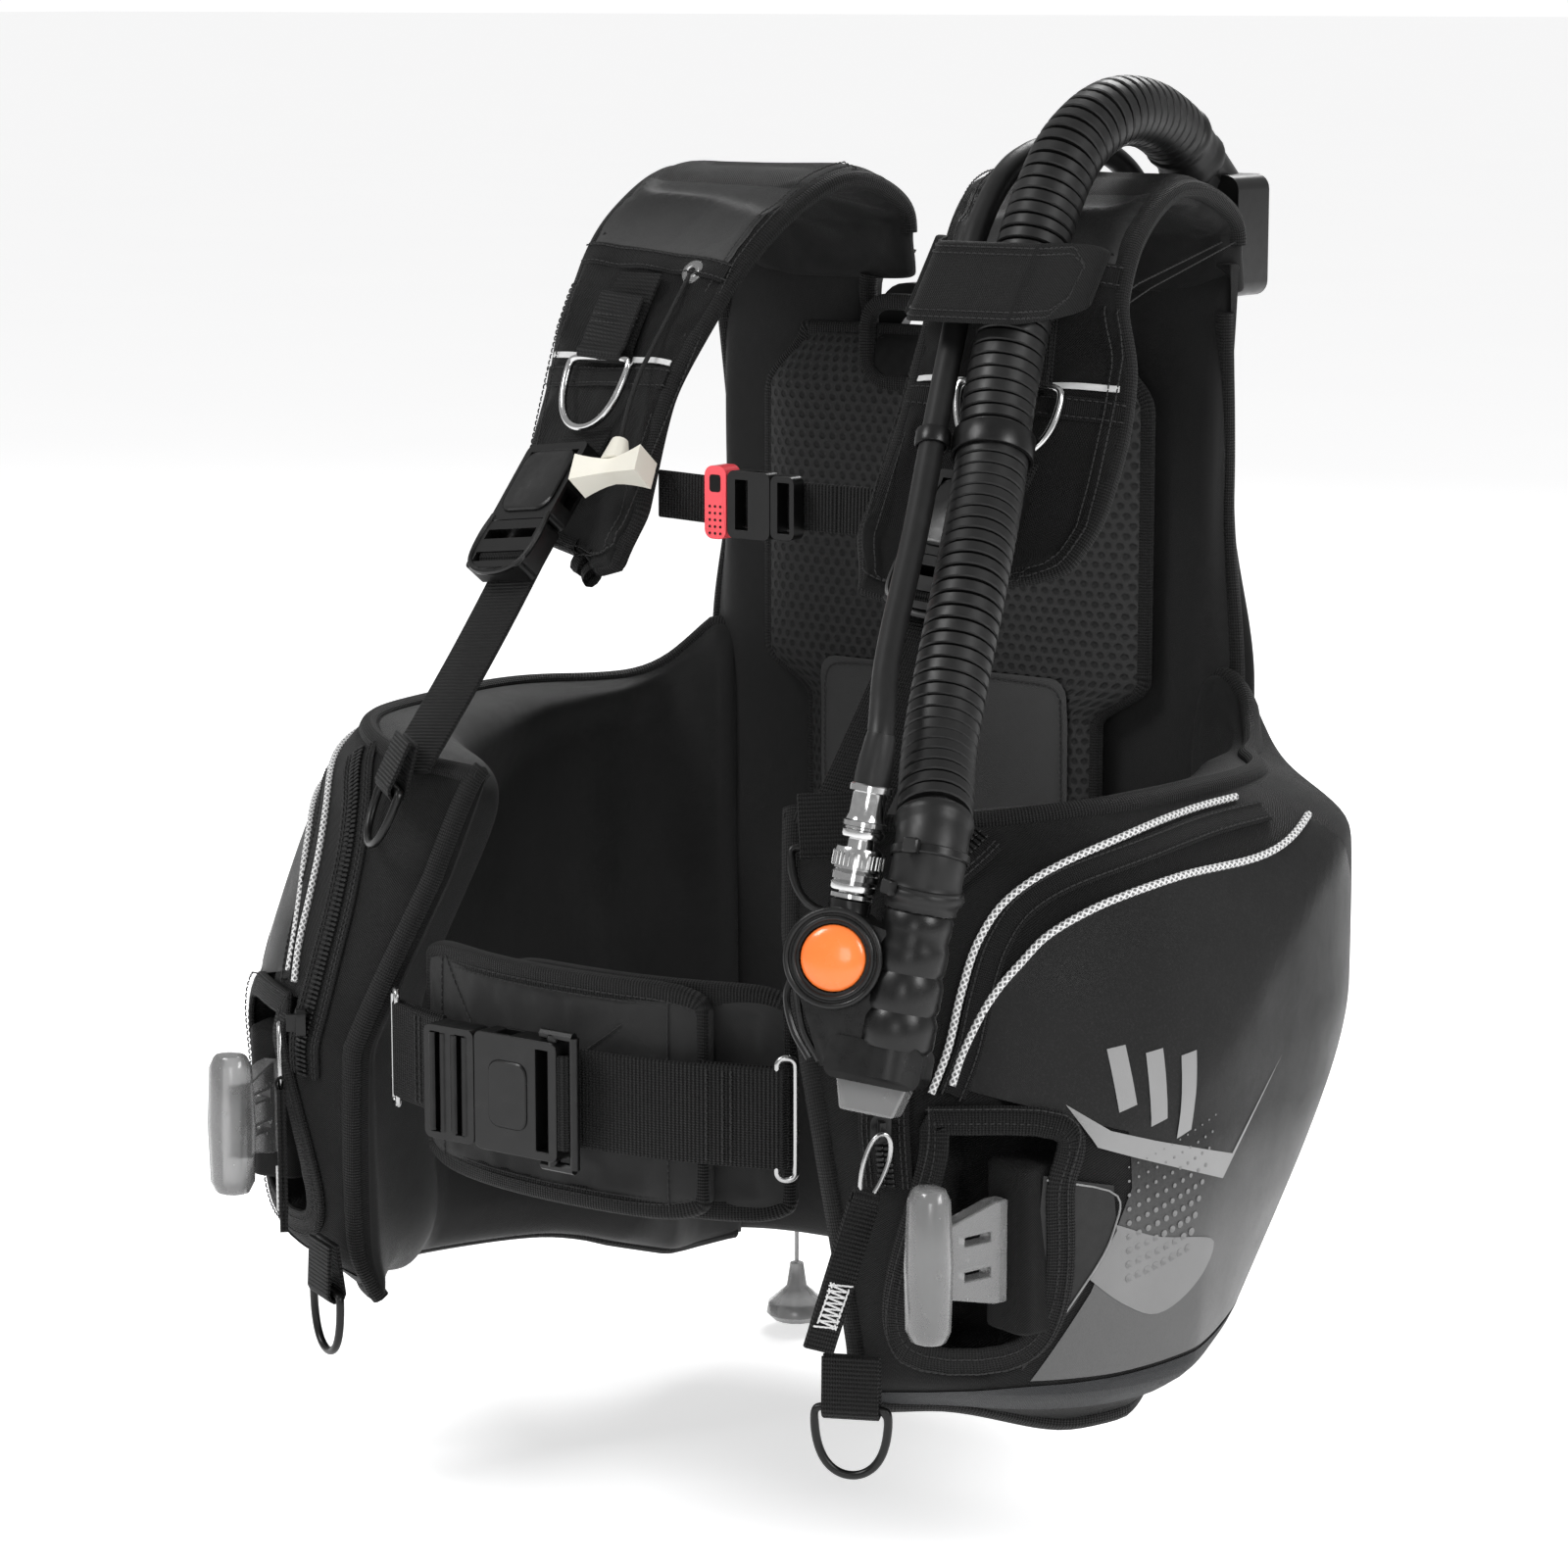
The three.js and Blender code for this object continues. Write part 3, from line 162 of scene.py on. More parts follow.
# ---------------------------------------------------------------- the trunk
@dataclass(frozen=True)
class Trunk:
    """The plan outline that the whole vest follows, and how its sides lean and tuck in."""

    half_width: float = 300
    half_depth: float = 195
    power: float = 3
    wing_angle: float = 46
    lobe_top: float = 15
    armhole_rise: float = 8
    rear_rise: float = 31
    hem_front: float = -268
    hem_side: float = -284
    hem_back: float = -304
    pocket_hem: float = -256
    wing_top: float = 268
    lean: float = 54
    lean_height: float = 34

    def origin(self) -> Vector:
        """Where the frame's origin is, measured from the middle of the trunk."""
        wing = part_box("back_wing_l")[1]
        return Vector((0, self.half_depth - wing.y / MM, self.wing_top - wing.z / MM))

    def place(self, points: Iterable[Sequence[float]]) -> Line:
        """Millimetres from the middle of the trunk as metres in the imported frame."""
        return (np.asarray(points, float) - np.array(ORIGIN)) * MM

    def lean_at(self, angle: float, z: float) -> float:
        """How far the surface leans in above its widest part."""
        start = mix(-8, -130, between(angle, 70, 114))
        share = min(1, max(0, (z - start) / (self.lean_height - start)))
        return (self.lean * share ** mix(1.5, 1, between(angle, 100, 118))
                * between(angle, self.wing_angle + 1, self.wing_angle + 20))

    def tuck_at(self, angle: float, z: float) -> float:
        """How far the surface tucks under below its widest part."""
        share = min(1, max(0, (-85 - z) / (-85 - self.pocket_hem)))
        return (mix(62, 12, min(1, max(0, (angle - 72) / 28))) * share ** 1.6
                * between(angle, self.wing_angle - 8, self.wing_angle + 14))

    def skin(self, angle: float, z: float, inset: float = 0) -> Point:
        """A point of the outside.

        Args:
            angle: degrees in plan from the back (0), over the side (90), to the front (180).
            z: height.
            inset: depth below the outline.

        Returns:
            The point, in millimetres.
        """
        inset += self.lean_at(angle, z) + self.tuck_at(angle, z)
        s, c = math.sin(math.radians(angle)), math.cos(math.radians(angle))
        a, b = self.half_width - inset, self.half_depth - inset
        r = (abs(s / a) ** self.power + abs(c / b) ** self.power) ** (-1 / self.power)
        return vec(r * s, r * c, z)

    def front_angle(self, z: float) -> float:
        """Where a lobe's front edge is."""
        return mix(144, 136, min(1, max(0, (-40 - z) / 200)))

    def top(self, angle: float) -> float:
        """Height of a lobe's upper edge."""
        corner = max(0.0, (60 - angle) / (60 - self.wing_angle))
        return (self.lobe_top + self.armhole_rise * between(angle, 132, 104)
                + self.rear_rise * min(1, corner) ** 2.4)

    def hem(self, angle: float) -> float:
        """Height of a lobe's lower edge."""
        return (mix(self.hem_back, self.hem_side, between(angle, self.wing_angle, 84))
                + (self.hem_front - self.hem_side) * between(angle, 112, 132))


TRUNK = Trunk()
ORIGIN = TRUNK.origin()
SIDES = ((1, "l"), (-1, "r"))


# ---------------------------------------------------------------- finishes
class Shader:
    """Builds one material's nodes."""

    def __init__(self, name: str) -> None:
        """Starts a material with its Principled shader."""
        self.material = bpy.data.materials.new(name + "_finish")
        self.material.use_nodes = True
        self.nodes = self.material.node_tree.nodes
        self.links = self.material.node_tree.links
        self.bsdf = self.nodes["Principled BSDF"]

    def node(self, kind: str, inputs: dict | None = None, **settings: object) -> bpy.types.Node:
        """Adds a node.

        Args:
            kind: the node's type, without its ShaderNode prefix.
            inputs: input name or number to a value or an output to link.
            settings: properties of the node.

        Returns:
            The node.
        """
        made = self.nodes.new("ShaderNode" + kind)
        for key, value in settings.items():
            setattr(made, key, value)
        for key, value in (inputs or {}).items():
            if isinstance(value, bpy.types.NodeSocket):
                self.links.new(value, made.inputs[key])
            else:
                made.inputs[key].default_value = value
        return made

    def math(self, operation: str, a: object, b: object = 0.0) -> bpy.types.NodeSocket:
        """The result of a Math node."""
        return self.node("Math", {0: a, 1: b}, operation=operation).outputs[0]

    def wave(self, value: bpy.types.NodeSocket, pitch: float) -> bpy.types.NodeSocket:
        """A sine of a length, with the given pitch in metres."""
        return self.math("SINE", self.math("MULTIPLY", value, 2 * math.pi / pitch))

    def colour(self, low: Sequence[float], high: Sequence[float], share: object) -> None:
        """Sets the base colour to a mix of two colours."""
        mixed = self.node("Mix", {0: share, 6: (*low, 1), 7: (*high, 1)}, data_type="RGBA")
        self.links.new(mixed.outputs[2], self.bsdf.inputs["Base Color"])

    def ramp(self, value: object, low: float, high: float, a: float, b: float) -> bpy.types.NodeSocket:
        """Maps low..high to a..b, held at both ends."""
        made = self.node("MapRange", {0: value, 1: low, 2: high, 3: a, 4: b})
        return made.outputs[0]

    def uneven(self, source: object, middle: float, more: float) -> None:
        """Lets the roughness follow a pattern about its middle value."""
        rough = self.ramp(source, 0.3, 0.7, middle - 0.05, middle + more)
        self.links.new(rough, self.bsdf.inputs["Roughness"])

    def set(self, values: dict[str, object]) -> None:
        """Sets the shader's own sockets."""
        for name, value in values.items():
            self.bsdf.inputs[name].default_value = value

    def bump(self, height: object, depth: float) -> None:
        """Bumps the surface; depth is in metres. A second call adds to the first."""
        made = self.node("Bump", {"Height": height, "Distance": depth, "Strength": 1.0})
        before = self.bsdf.inputs["Normal"]
        if before.is_linked:
            self.links.new(before.links[0].from_socket, made.inputs["Normal"])
        self.links.new(made.outputs[0], before)

    def noise(self, size: float, detail: float = 3, source: object = None) -> bpy.types.NodeSocket:
        """Noise whose patches are about size metres across."""
        source = source or self.node("TexCoord").outputs["Object"]
        made = self.node("TexNoise", {"Vector": source, "Scale": 1 / size, "Detail": detail})
        return made.outputs["Fac"]

    def surface(self) -> tuple[bpy.types.NodeSocket, bpy.types.NodeSocket]:
        """Lengths along and across the piece's own surface, in metres."""
        uv = self.node("SeparateXYZ", {0: self.node("TexCoord").outputs["UV"]})
        return uv.outputs[0], uv.outputs[1]


def grey(level: float, tint: float = 0.0) -> tuple[float, float, float]:
    """A grey from its display level of 0 to 255; tint makes it bluer."""
    c = (level / 255) ** 2.2
    return (c * (1 - tint), c, c * (1 + 1.6 * tint))


@dataclass(frozen=True)
class Cloth:
    """A woven cloth: a plain weave with uneven dye, seen by its own sheen."""

    name: str
    dark: float = 24
    light: float = 36
    roughness: float = 0.62
    weave: float = 0.0011
    depth: float = 0.00022
    sheen: float = 0.25
    shine: float = 0.16
    crumple: float = 0.0
    tint: float = 0.0
    fade: tuple[float, float, float] | None = None  # display level reached from one height to another

    def build(self) -> bpy.types.Material:
        """Makes the material."""
        s = Shader(self.name)
        u, v = s.surface()
        patches = s.noise(0.03)
        if not self.fade:
            s.colour(grey(self.dark, self.tint), grey(self.light, self.tint), patches)
        else:
            level, start, end = self.fade
            height = s.node("SeparateXYZ", {0: s.node("TexCoord").outputs["Object"]}).outputs[2]
            grain = s.math("MULTIPLY", s.math("SUBTRACT", s.noise(0.0012, 1), 0.5), 0.25)
            share = s.math("ADD", s.ramp(height, start, end, 0, 1), grain)
            s.colour(grey(self.dark, self.tint), grey(level, self.tint), s.ramp(share, 0, 1, 0, 1))
        threads = s.math("MULTIPLY", s.wave(u, self.weave), s.wave(v, self.weave))
        s.bump(threads, self.depth)
        if self.crumple:
            s.bump(s.noise(0.014, 4), self.crumple)
        s.uneven(patches, self.roughness, 0.06)
        s.set({"Sheen Weight": self.sheen * 0.2, "Sheen Roughness": 0.4, "Specular IOR Level": self.shine})
        return s.material


@dataclass(frozen=True)
class Ribbed:
    """Webbing, tape or binding: ribs across it and a finer thread along it, the grooves painted darker as
    shade.
    """

    name: str
    dark: float = 20
    light: float = 40
    rib: float = 0.0016
    thread: float = 0.0011
    depth: float = 0.00035
    roughness: float = 0.6

    def build(self) -> bpy.types.Material:
        """Makes the material."""
        s = Shader(self.name)
        u, v = s.surface()
        ribs = s.wave(u, self.rib)
        threads = s.wave(s.math("ADD", v, s.math("MULTIPLY", ribs, self.thread * 0.12)), self.thread)
        height = s.math("ADD", ribs, s.math("MULTIPLY", threads, 0.6))
        # painted shade: the colour follows the bump height, darker in the grooves between ribs and threads and
        # lighter on their tops
        s.colour(grey(self.dark), grey(self.light), s.ramp(height, -1.2, 1.4, 0, 1))
        s.bump(height, self.depth)
        s.bump(s.noise(0.008), 0.0003)
        s.set({"Roughness": self.roughness, "Sheen Weight": 0.04, "Specular IOR Level": 0.16})
        return s.material


@dataclass(frozen=True)
class Moulded:
    """A moulded plastic or rubber with a fine spark-eroded grain."""

    name: str
    colour: tuple[float, float, float] = (0.012, 0.012, 0.013)
    shade: tuple[float, float, float] = (0.02, 0.02, 0.021)
    roughness: float = 0.36
    grain: float = 0.00004
    through: float = 0.0
    coat: float = 0.0
    shine: float = 0.35

    def build(self) -> bpy.types.Material:
        """Makes the material."""
        s = Shader(self.name)
        s.colour(self.colour, self.shade, s.noise(0.02))
        s.uneven(s.noise(0.006, 5), self.roughness, 0.08)
        s.bump(s.noise(0.0006, 2), self.grain)
        s.set({"Transmission Weight": self.through, "Coat Weight": self.coat, "Coat Roughness": 0.12,
               "Specular IOR Level": self.shine})
        return s.material


@dataclass(frozen=True)
class Steel:
    """Polished metal with faint handling marks."""

    name: str
    level: float = 205
    roughness: float = 0.12

    def build(self) -> bpy.types.Material:
        """Makes the material."""
        s = Shader(self.name)
        marks = s.noise(0.004, 6)
        s.colour(grey(self.level - 14), grey(self.level + 10), marks)
        s.uneven(marks, self.roughness, 0.1)
        s.set({"Metallic": 1})
        return s.material


@dataclass(frozen=True)
class Spacer:
    """Spacer mesh: a coarse knitted net of round holes in offset rows, the holes painted dark as shade."""

    name: str
    pitch: float = 0.0062
    # dark is the painted shade in the holes; light is the net's own colour
    dark: float = 10
    light: float = 40

    def build(self) -> bpy.types.Material:
        """Makes the material."""
        s = Shader(self.name)
        u, v = s.surface()
        row = s.math("DIVIDE", v, self.pitch * 0.866)
        shift = s.math("MULTIPLY", s.math("MODULO", s.math("FLOOR", row), 2), 0.5)
        x = s.math("SUBTRACT", s.math("FRACT", s.math("ADD", s.math("DIVIDE", u, self.pitch), shift)), 0.5)
        y = s.math("MULTIPLY", s.math("SUBTRACT", s.math("FRACT", row), 0.5), 0.866)
        away = s.math("SQRT", s.math("ADD", s.math("MULTIPLY", x, x), s.math("MULTIPLY", y, y)))
        net = s.ramp(away, 0.2, 0.38, 0, 1)
        # painted shade: the holes get the dark colour for the shade inside them, the net the light one
        s.colour(grey(self.dark), grey(self.light), net)
        s.bump(net, 0.0012)
        s.bump(s.noise(0.0009, 2), 0.0003)
        s.set({"Roughness": 0.75})
        return s.material


@dataclass(frozen=True)
class Cord:
    """A braided cord or piping: two threads that cross at a slant, the hollows between them painted darker as
    shade.
    """

    name: str
    dark: float = 120
    light: float = 232
    pitch: float = 0.0034

    def build(self) -> bpy.types.Material:
        """Makes the material."""
        s = Shader(self.name)
        u, v = s.surface()
        one = s.wave(s.math("ADD", u, v), self.pitch)
        two = s.wave(s.math("SUBTRACT", u, v), self.pitch)
        braid = s.math("MAXIMUM", one, two)
        # painted shade: the colour follows the braid's height, darker in the hollows between the threads
        s.colour(grey(self.dark), grey(self.light), s.ramp(braid, -0.4, 0.9, 0, 1))
        s.bump(braid, 0.0004)
        s.set({"Roughness": 0.7})
        return s.material


class Finish(Enum):
    """Every finish on the vest, with the record's slot that it belongs to."""

    CORDURA = (Cloth("cordura", 20, 32, 0.6, 0.0013, 0.00035, 0.2, 0.16, 0.0006), "nylon")
    LINING = (Cloth("lining", 22, 33, 0.5, 0.0009, 0.00012, 0.35, 0.2, 0.0006), "nylon")
    PANEL = (Cloth("panel", 24, 32, 0.4, 0.0007, 0.00006, 0.1, 0.22, 0.0004, 0.0, (92, -0.19, -0.25)), "panel")
    PRINT = (Cloth("printed_sheet", 30, 36, 0.45, 0.0007, 0.00006, 0.1, 0.25, 0.0, 0.0,
                   (88, 0.24, 0.17)), "nylon")
    PADDING = (Cloth("padding", 40, 50, 0.62, 0.0008, 0.0001, 0.35, 0.2, 0.0003), "padding")
    LUMBAR = (Cloth("lumbar_cloth", 66, 76, 0.6, 0.001, 0.00015, 0.2, 0.2, 0.0003), "nylon")
    LETTERLESS_INK = (Cloth("pale_ink", 136, 150, 0.4, 0.0007, 0.00004, 0.0), "panel")
    FADE_INK = (Cloth("grey_ink", 118, 132, 0.4, 0.0007, 0.00004, 0.0), "panel")
    HEM_STRIP = (Cloth("hem_strip", 36, 46, 0.55, 0.001, 0.0002, 0.2, 0.2, 0.0003, 0.06), "nylon")
    # webbing, tape and binding get painted shade in their grooves from Ribbed
    WEB = (Ribbed("webbing", 16, 34, 0.0021, 0.0013, 0.0005), "webbing")
    TAPE = (Ribbed("tape", 16, 34, 0.0011, 0.0009, 0.0002), "webbing")
    BINDING = (Ribbed("binding", 18, 40, 0.0016, 0.0012, 0.0003), "webbing")
    THREAD = (Moulded("thread", grey(34), grey(52), 0.7, 0.0), "webbing")
    ACETAL = (Moulded("acetal", grey(17), grey(22), 0.32, 0.00003), "black_plastic")
    INFLATOR = (Moulded("inflator_plastic", grey(20), grey(27), 0.3, 0.00003), "black_plastic")
    RUBBER = (Moulded("rubber", grey(24), grey(32), 0.42, 0.00002), "hose_rubber")
    PATCH = (Moulded("patch_rubber", grey(30), grey(38), 0.55, 0.0001), "panel")
    ORANGE = (Moulded("orange", (1.0, 0.19, 0.035), (1.0, 0.23, 0.05), 0.22, 0.0, 0.0, 0.4), "orange_plastic")
    RED = (Moulded("coral_red", (0.9, 0.075, 0.1), (0.95, 0.1, 0.12), 0.32, 0.00002, 0.0, 0.2), "red_plastic")
    SMOKE = (Moulded("smoke", grey(150), grey(165), 0.2, 0.0, 0.6, 0.3, 0.5), "grey_plastic")
    CREAM = (Moulded("cream", (0.72, 0.69, 0.6), (0.78, 0.76, 0.68), 0.34, 0.0, 0.0, 0.2), "cream_plastic")
    CHROME = (Steel("chrome"), "bright_metal")
    WIRE = (Steel("wire_steel", 176, 0.2), "bright_metal")
    SPACER = (Spacer("spacer_mesh"), "mesh")
    # the Cord finishes, this piping and the black cord, have painted shade in their braid hollows
    PIPING = (Cord("piping", 110, 235), "panel")
    LINE = (Cloth("reflective_line", 205, 235, 0.4, 0.0008, 0.0001, 0.0), "panel")
    BLACK_CORD = (Cord("black_cord", 18, 44, 0.0018), "webbing")
    TEETH = (Moulded("zip_teeth", grey(26), grey(34), 0.34, 0.0), "black_plastic")
    # painted shade: a near-black sheet laid where openings would be in shade
    DARK = (Moulded("painted_shade", grey(8), grey(10), 0.8, 0.0), "black_plastic")

    @property
    def slot(self) -> str:
        """The record's material slot."""
        return self.value[1]

    @property
    def material(self) -> bpy.types.Material:
        """The material, made at its first use."""
        name = self.value[0].name
        return bpy.data.materials.get(name + "_finish") or self.value[0].build()


# ---------------------------------------------------------------- making meshes
def rounded(width: float, height: float, radius: float, corner: int = 3) -> Line:
    """A rectangle with round corners, as points in order round it."""
    out = []
    for k, (sx, sy) in enumerate(((1, 1), (-1, 1), (-1, -1), (1, -1))):
        for t in np.linspace(0, math.pi / 2, corner + 1):
            a = t + k * math.pi / 2
            out.append((sx * (width / 2 - radius) + radius * math.cos(a),
                        sy * (height / 2 - radius) + radius * math.sin(a)))
    return np.array(out)


def circle(radius: float, sides: int = 12) -> Line:
    """A circle as points in order."""
    t = np.arange(sides) * 2 * math.pi / sides
    return np.stack([radius * np.cos(t), radius * np.sin(t)], 1)


@dataclass(frozen=True)
class Axes:
    """A place with three directions."""

    place: Point
    x: Point
    y: Point
    z: Point

    @staticmethod
    def of(place: Point, x: Point, z: Point) -> "Axes":
        """Axes whose Z is exact and whose X is as near as possible to the one given."""
        z = unit(z)
        x = unit(x - z * np.dot(x, z))
        return Axes(np.asarray(place, float), x, np.cross(z, x), z)

    def at(self, x: float, y: float, z: float) -> Point:
        """A point given in these axes."""
        return self.place + self.x * x + self.y * y + self.z * z

    def moved(self, x: float, y: float, z: float) -> "Axes":
        """The same directions at another point."""
        return Axes(self.at(x, y, z), self.x, self.y, self.z)

    def put(self, points: Iterable[Sequence[float]]) -> Line:
        """Several points given in these axes."""
        return np.asarray(points, float) @ np.stack([self.x, self.y, self.z]) + self.place


@dataclass
class Maker:
    """Collects the shells of one piece in millimetres and makes them one mesh.

    side is -1 for a piece of the wearer's right, which is built on the left and mirrored.
    """

    name: str
    side: int = 1
    points: list = field(default_factory=list)
    uvs: list = field(default_factory=list)
    faces: list = field(default_factory=list)
    marks: list = field(default_factory=list)
    used: list = field(default_factory=list)

    def add(self, points: Line, faces: Iterable[Sequence[int]], finish: Finish, uv: Line | None = None) -> None:
        """Adds points and faces.

        Args:
            points: the corners.
            faces: indices into points.
            finish: what the faces are made of.
            uv: lengths along and across the surface in metres; taken from X and Y when not given.
        """
        points = np.asarray(points, float)
        first = sum(len(p) for p in self.points)
        if finish not in self.used:
            self.used.append(finish)
        self.points.append(points)
        self.uvs.append(points[:, :2] * MM if uv is None else np.asarray(uv, float))
        self.faces += [[first + i for i in f] for f in faces]
        self.marks += [self.used.index(finish)] * (len(self.faces) - len(self.marks))

    def patch(self, grid: np.ndarray, finish: Finish, ends: bool = False) -> None:
        """Adds a grid of points whose last column joins its first.

        Args:
            grid: rows by columns by 3.
            finish: what it is made of.
            ends: closes the first and last rows.
        """
        grid = np.concatenate([grid, grid[:, :1]], 1)
        rows, cols = grid.shape[:2]
        along = np.median([lengths(grid[:, k]) for k in range(0, cols, max(1, cols // 6))], 0)
        across = np.median([lengths(grid[k]) for k in range(0, rows, max(1, rows // 6))], 0)
        uv = np.stack(np.meshgrid(along, across, indexing="ij"), -1).reshape(-1, 2) * MM
        faces = [(i * cols + j, i * cols + j + 1, (i + 1) * cols + j + 1, (i + 1) * cols + j)
                 for i in range(rows - 1) for j in range(cols - 1)]
        if ends:
            faces += [tuple(range(cols - 1)), tuple(range((rows - 1) * cols, rows * cols - 1))]
        self.add(grid.reshape(-1, 3), faces, finish, uv)

    def sweep(self, line: Line, side: Line, section: Line, finish: Finish, scale: np.ndarray | None = None,
              ring: bool = False) -> None:
        """Sweeps a section along a line.

        Args:
            line: the middle of the section.
            side: the direction of the section's X at each point.
            section: points in order round it.
            finish: what it is made of.
            scale: the section's size at each point.
            ring: joins the last point to the first.
        """
        ahead = directions(line, ring)
        side = np.broadcast_to(side, line.shape)
        side = side - ahead * (side * ahead).sum(1, keepdims=True)
        side = side / np.linalg.norm(side, axis=1, keepdims=True)
        out = np.cross(side, ahead)
        scale = np.ones(len(line)) if scale is None else np.asarray(scale)
        grid = (line[:, None] + (side[:, None] * section[None, :, :1] + out[:, None] * section[None, :, 1:])
                * scale[:, None, None])
        if ring:
            grid = np.concatenate([grid, grid[:1]])
        self.patch(grid, finish, ends=not ring)

    def tube(self, line: Line, radius: float, finish: Finish, sides: int = 10, ring: bool = False) -> None:
        """Adds a round bar along a line."""
        start = np.cross(directions(line, ring)[0], (0.3, 0.2, 0.93))
        if ring:
            middle = line.mean(0)
            self.sweep(line, line - middle, circle(radius, sides), finish, ring=True)
        else:
            self.sweep(line, carried(line, start), circle(radius, sides), finish)

    def turn(self, axes: Axes, profile: Sequence[tuple[float, float]], finish: Finish, sides: int = 28) -> None:
        """Turns a profile of (radius, height) round the axes' Z."""
        t = np.arange(sides) * 2 * math.pi / sides
        grid = np.array([[axes.at(r * math.cos(a), r * math.sin(a), h) for a in t] for r, h in profile])
        self.patch(grid, finish, ends=True)

    def plate(self, axes: Axes, outline: Line, thickness: float, finish: Finish, edge: float = 0.0) -> None:
        """Adds a flat plate with a chamfered edge, its outline in X and Y and its top face up Z."""
        middle = outline.mean(0)
        inner = middle + (outline - middle) * (1 - edge / max(np.abs(outline - middle).max(), 1e-6))
        levels = [(inner, 0), (outline, edge), (outline, thickness - edge), (inner, thickness)]
        grid = np.array([axes.put([(x, y, z) for x, y in ring]) for ring, z in levels])
        self.patch(grid, finish, ends=True)

    def mesh(self) -> bpy.types.Mesh:
        """The collected shells as one mesh in metres, welded and with its faces outwards."""
        points = np.concatenate(self.points) * (self.side, 1, 1)
        mesh = bpy.data.meshes.new(self.name)
        mesh.from_pydata(TRUNK.place(points).tolist(), [], self.faces)
        uv = np.concatenate(self.uvs)
        layer = mesh.uv_layers.new(name="surface")
        corners = np.zeros(len(mesh.loops), int)
        mesh.loops.foreach_get("vertex_index", corners)
        layer.data.foreach_set("uv", uv[corners].astype(np.float32).ravel())
        mesh.polygons.foreach_set("material_index", self.marks)
        for finish in self.used:
            mesh.materials.append(finish.material)
        bm = bmesh.new()
        bm.from_mesh(mesh)
        bmesh.ops.remove_doubles(bm, verts=bm.verts, dist=2e-6)
        bmesh.ops.dissolve_degenerate(bm, edges=bm.edges, dist=1e-7)
        bmesh.ops.recalc_face_normals(bm, faces=bm.faces)
        bm.to_mesh(mesh)
        bm.free()
        return mesh

    def make(self, body: str = "vest", sharp: float = 38, smooth: int = 0) -> bpy.types.Object:
        """Makes the piece.

        Args:
            body: the body that it rides on.
            sharp: edges that turn by more degrees than this stay crisp.
            smooth: subdivision levels.

        Returns:
            The object.
        """
        return finished(self.mesh(), self.name, body, self.used[0].slot, sharp, smooth=smooth)


def finished(mesh: bpy.types.Mesh, name: str, body: str, slot: str, sharp: float = 38, bevel: float = 0.0,
             smooth: int = 0) -> bpy.types.Object:
    """Makes a mesh an object of the vest that rides on a body, with round edges where asked."""
    mesh.shade_smooth()
    mesh.set_sharp_from_angle(angle=math.radians(sharp))
    piece = bpy.data.objects.new(name, mesh)
    bpy.context.scene.collection.objects.link(piece)
    if bevel:
        edges = piece.modifiers.new("round edges", "BEVEL")
        edges.width, edges.segments, edges.limit_method = bevel * MM, 2, "ANGLE"
        edges.angle_limit = math.radians(sharp)
        edges.harden_normals = True
    if smooth:
        soft = piece.modifiers.new("smooth", "SUBSURF")
        soft.levels = soft.render_levels = smooth
    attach(piece, body)
    log.info("%s rides on %s with %d faces", name, body, len(mesh.polygons))
    return piece


def refined(node: str, finish: Finish, bevel: float = 0.7, sharp: float = 30,
            smooth: int = 0) -> bpy.types.Object:
    """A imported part's own shape with round edges and a finish, standing for that part.

    Args:
        node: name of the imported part.
        finish: what it is made of.
        bevel: width of its round edges in millimetres.
        sharp: edges that turn by more degrees than this are rounded.
        smooth: subdivision levels.

    Returns:
        The object.
    """
    source = frame["nodes"][node]
    mesh = source.data.copy()
    mesh.materials.clear()
    mesh.materials.append(finish.material)
    bm = bmesh.new()
    bm.from_mesh(mesh)
    bmesh.ops.remove_doubles(bm, verts=bm.verts, dist=2e-5)
    bmesh.ops.dissolve_degenerate(bm, edges=bm.edges, dist=1e-6)
    bmesh.ops.dissolve_limit(bm, angle_limit=math.radians(1.5), verts=bm.verts, edges=bm.edges)
    bmesh.ops.recalc_face_normals(bm, faces=bm.faces)
    for name in list(bm.loops.layers.uv.keys()):
        bm.loops.layers.uv.remove(bm.loops.layers.uv[name])
    for face in bm.faces:
        face.material_index = 0
    layer = bm.loops.layers.uv.new("surface")
    for face in bm.faces:
        n = face.normal
        k = max(range(3), key=lambda i: abs(n[i]))
        for loop in face.loops:
            co = loop.vert.co
            loop[layer].uv = (co[(k + 1) % 3], co[(k + 2) % 3])
    bm.to_mesh(mesh)
    bm.free()
    piece = finished(mesh, node + "_piece", source["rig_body"], finish.slot, sharp, bevel, smooth)
    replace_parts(piece, node)
    return piece


